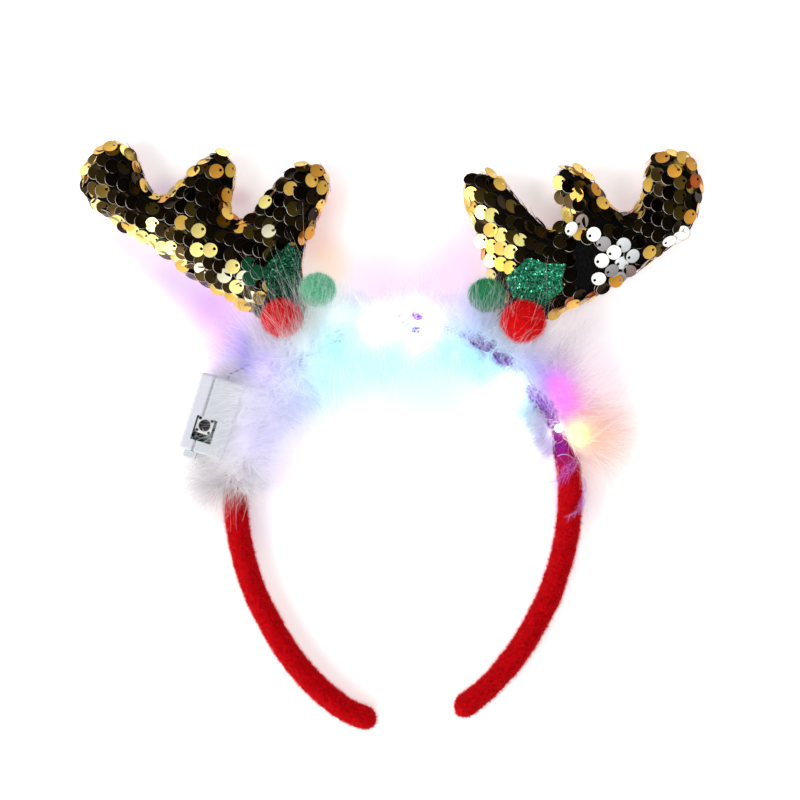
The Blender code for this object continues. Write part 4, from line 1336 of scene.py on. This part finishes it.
def make_window():
    """Switch cover and rivets, ribs, solder and chips on the board, and the lid's tongue and tab."""
    axis = middle_of("switch_button")
    origin = Vector((axis.x, axis.y, 0.0))
    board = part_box("circuit_board")[1].z
    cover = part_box("switch_housing")[1].z + 0.00003
    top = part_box("battery_case")[1].z
    # Painted reflection: the steel cover is a matte pale grey that stands in for the bright room it
    # mirrors
    steel = plastic_material("cover_steel", (0.84, 0.84, 0.85), 0.3, 0.03)
    black = plastic_material("rivet_black", (0.006, 0.006, 0.007), 0.5, 0.06, 0.2)
    green = plastic_material("rib_green", (0.06, 0.62, 0.38), 0.35)
    white = plastic_material("lid_white", (0.68, 0.7, 0.74), 0.5)
    solder = metal_material("solder", (0.8, 0.79, 0.76), 0.22)

    plate = (("plate", (0, 0, cover), (0.006, 0.0042, 0.0002)),)
    window_piece("switch_cover", plate, steel, "switch_steel", origin)
    corners = [(x * 0.0022, y * 0.0022, cover + 0.0002) for x in (-1, 1) for y in (-1, 1)]
    rivets = [("blob", corner, (0.0011, 0.0011, 0.0005)) for corner in corners]
    window_piece("switch_rivets", rivets, black, "black_plastic", origin)
    rows = [(-0.0036, -0.0028 + number * 0.0008, board + 0.0003) for number in range(9)]
    ribs = [("box", row, (0.001, 0.0004, 0.0006)) for row in rows]
    ribs.append(("blob", (-0.001, 0.0046, board + 0.0002), (0.0014, 0.0008, 0.0006)))
    ribs.append(("blob", (0.0016, 0.0056, board + 0.0002), (0.0012, 0.0006, 0.0006)))
    window_piece("board_ribs", ribs, green, "board_green", origin)
    joints = (
        ("blob", (-0.0024, 0.0052, board + 0.0003), (0.0019, 0.0011, 0.0012)),
        ("blob", (-0.0037, 0.0047, board + 0.0003), (0.001, 0.0014, 0.0009)),
        ("box", (0.0022, 0.0043, board + 0.0004), (0.0007, 0.0022, 0.0005)),
        ("box", (-0.0022, 0.0038, board + 0.0004), (0.0007, 0.0012, 0.0005)),
    )
    window_piece("board_solder", joints, solder, "switch_steel", origin)
    chips = (
        ("box", (0.0006, 0.004, board + 0.0004), (0.0018, 0.001, 0.0007)),
        ("box", (-0.0007, 0.0056, board + 0.0003), (0.0008, 0.0005, 0.0005)),
        ("blob", (0.0031, 0.005, board + 0.0003), (0.0007, 0.0012, 0.0006)),
    )
    window_piece("board_chips", chips, black, "black_plastic", origin)
    moulding = (
        ("box", (0.0015, -0.0104, top - 0.0011), (0.00021, 0.0146, 0.0016)),
        ("box", (0.0015, 0.0081, top - 0.0011), (0.00021, 0.0034, 0.0016)),
        ("box", (0.0022, 0.0113, 0.015), (0.0044, 0.0024, 0.01)),
    )
    window_piece("lid_tongue", moulding, white, "white_plastic", origin)


def studio_world():
    """A room that is dark overhead and bright low down at the left and in front."""
    nodes = Nodes("studio", "worlds", "OutputWorld")
    where = nodes.add("TexCoord").outputs["Generated"]
    toward = nodes.add("VectorMath", {"operation": "DOT_PRODUCT"}, i0=where, i1=BRIGHT_SIDE)
    colour = nodes.ramp(toward.outputs["Value"], [(place, (level,) * 3) for place, level in ROOM_LEVELS])
    return nodes.surface(nodes.add("Background", Color=colour, Strength=1.0).outputs["Background"])


def set_up_scene():
    work = bmesh.new()
    bmesh.ops.create_grid(work, x_segments=1, y_segments=1, size=3.0)
    floor = mesh_object("paper", work, paper_material())
    floor.location.z = -0.0003

    camera_data = bpy.data.cameras.new("camera")
    camera = add_object("camera", camera_data)
    camera.location = at_photo(*PHOTO_MIDDLE, CAMERA_HEIGHT)
    camera_data.sensor_width = SENSOR_WIDTH
    camera_data.lens = SENSOR_WIDTH * (CAMERA_HEIGHT - FOCUS_HEIGHT) / FRAME_WIDTH
    bpy.context.scene.camera = camera

    for name, place, size, power, reflected in SOFTBOXES:
        light = bpy.data.lights.new(name, "AREA")
        light.size = size
        light.energy = power
        lamp = add_object(name, light)
        lamp.location = place
        lamp.rotation_euler = (Vector((0, 0, 0)) - Vector(place)).to_track_quat("-Z", "Y").to_euler()
        lamp.visible_glossy = reflected

    for number, (centre, (*colour, power, _)) in enumerate(zip(LEDS, LED_COLOURS), start=1):
        light = bpy.data.lights.new(f"shine_{number}", "POINT")
        light.color = colour
        light.energy = LAMP_POWER * power
        light.shadow_soft_size = 0.004
        add_object(f"shine_{number}", light).location = Vector(centre) + Vector((0, 0, 0.01))

    scene = bpy.context.scene
    scene.world = studio_world()
    scene.view_settings.view_transform = "Standard"
    scene.view_settings.look = "None"
    scene.use_nodes = True
    tree = scene.node_tree
    tree.nodes.clear()
    layers = tree.nodes.new("CompositorNodeRLayers")
    glare = tree.nodes.new("CompositorNodeGlare")
    glare.glare_type = "BLOOM"
    for name, value in BLOOM.items():
        glare.inputs[name].default_value = value
    out = tree.nodes.new("CompositorNodeComposite")
    tree.links.new(layers.outputs["Image"], glare.inputs["Image"])
    tree.links.new(glare.outputs["Image"], out.inputs["Image"])


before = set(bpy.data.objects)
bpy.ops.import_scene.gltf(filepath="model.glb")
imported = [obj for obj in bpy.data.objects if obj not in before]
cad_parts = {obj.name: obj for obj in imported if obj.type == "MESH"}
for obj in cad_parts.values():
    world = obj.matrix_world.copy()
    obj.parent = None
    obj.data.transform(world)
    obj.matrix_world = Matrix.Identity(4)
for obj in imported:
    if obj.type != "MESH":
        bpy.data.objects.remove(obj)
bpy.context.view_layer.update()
LEDS = np.array([tuple(middle_of(f"led_{number}")) for number in range(1, len(LED_COLOURS) + 1)])


def main():
    rng = np.random.default_rng(SEED)
    set_up_scene()
    band = Band()

    velour = velour_material()
    red_strands = strand_material("red_pile", 0.9, 0.2)
    marabou = strand_material("marabou", 0.9, 0.5)
    wool = strand_material("pompom_wool", 0.95, 0.3)
    make_band(velour, red_strands, rng)

    spans = np.linspace(FUR_LEFT_ANGLE, FUR_RIGHT_ANGLE, 4)
    for name, low, high in zip(("left", "middle", "right"), spans, spans[1:]):
        make_fur_piece("marabou_" + name, low, high, band, marabou, rng)
    make_wisps(marabou, rng)
    make_feathers(marabou, rng)

    cloth = antler_cloth_material()
    # The gold and silver films also give off a painted glow of their own colour
    sequin_materials = [
        sequin_material("sequin_dark", 1.0, 0.12),
        sequin_material("sequin_gold", 0.45, 0.25, 0.3),
        sequin_material("sequin_silver", 0.15, 0.35, 0.35),
        rim_material(),
    ]
    for side in ("left", "right"):
        make_antler(side, cloth, red_strands, sequin_materials, rng)

    flakes = sequin_material("glitter_flakes", 0.6, 0.25)
    green_foam = glitter_material("green_glitter_foam", (0.0, 0.07, 0.03), (0.03, 0.42, 0.2))
    dark_foam = glitter_material("dark_glitter_foam", (0.0, 0.03, 0.012), (0.01, 0.17, 0.07))
    make_leaf("right", green_foam, flakes, (0.045, 0.44, 0.25), rng)
    make_leaf("left", dark_foam, flakes, (0.008, 0.11, 0.055), rng)

    red_ball = plastic_material("red_wool_core", (0.72, 0.004, 0.006), 0.95, 0.1, 0.05)
    green_ball = plastic_material("green_wool_core", (0.03, 0.32, 0.13), 0.95, 0.1, 0.05)
    pale_green_ball = plastic_material("pale_green_wool_core", (0.12, 0.52, 0.3), 0.95, 0.1, 0.05)
    for side in ("left", "right"):
        make_pompom("berry_red_" + side, (0.9, 0.01, 0.014), red_ball, wool, rng)
    make_pompom("berry_green_left", (0.3, 0.8, 0.55), pale_green_ball, wool, rng)
    make_pompom("berry_green_right", (0.02, 0.44, 0.17), green_ball, wool, rng)

    for node, *look in MOULDED:
        give_material(node, plastic_material(*look))
    make_window()
    for number, (*colour, power, _) in enumerate(LED_COLOURS, start=1):
        give_material(f"led_{number}", lit_material(f"light_{number}", colour, BEAD_LIGHT * power))


main()
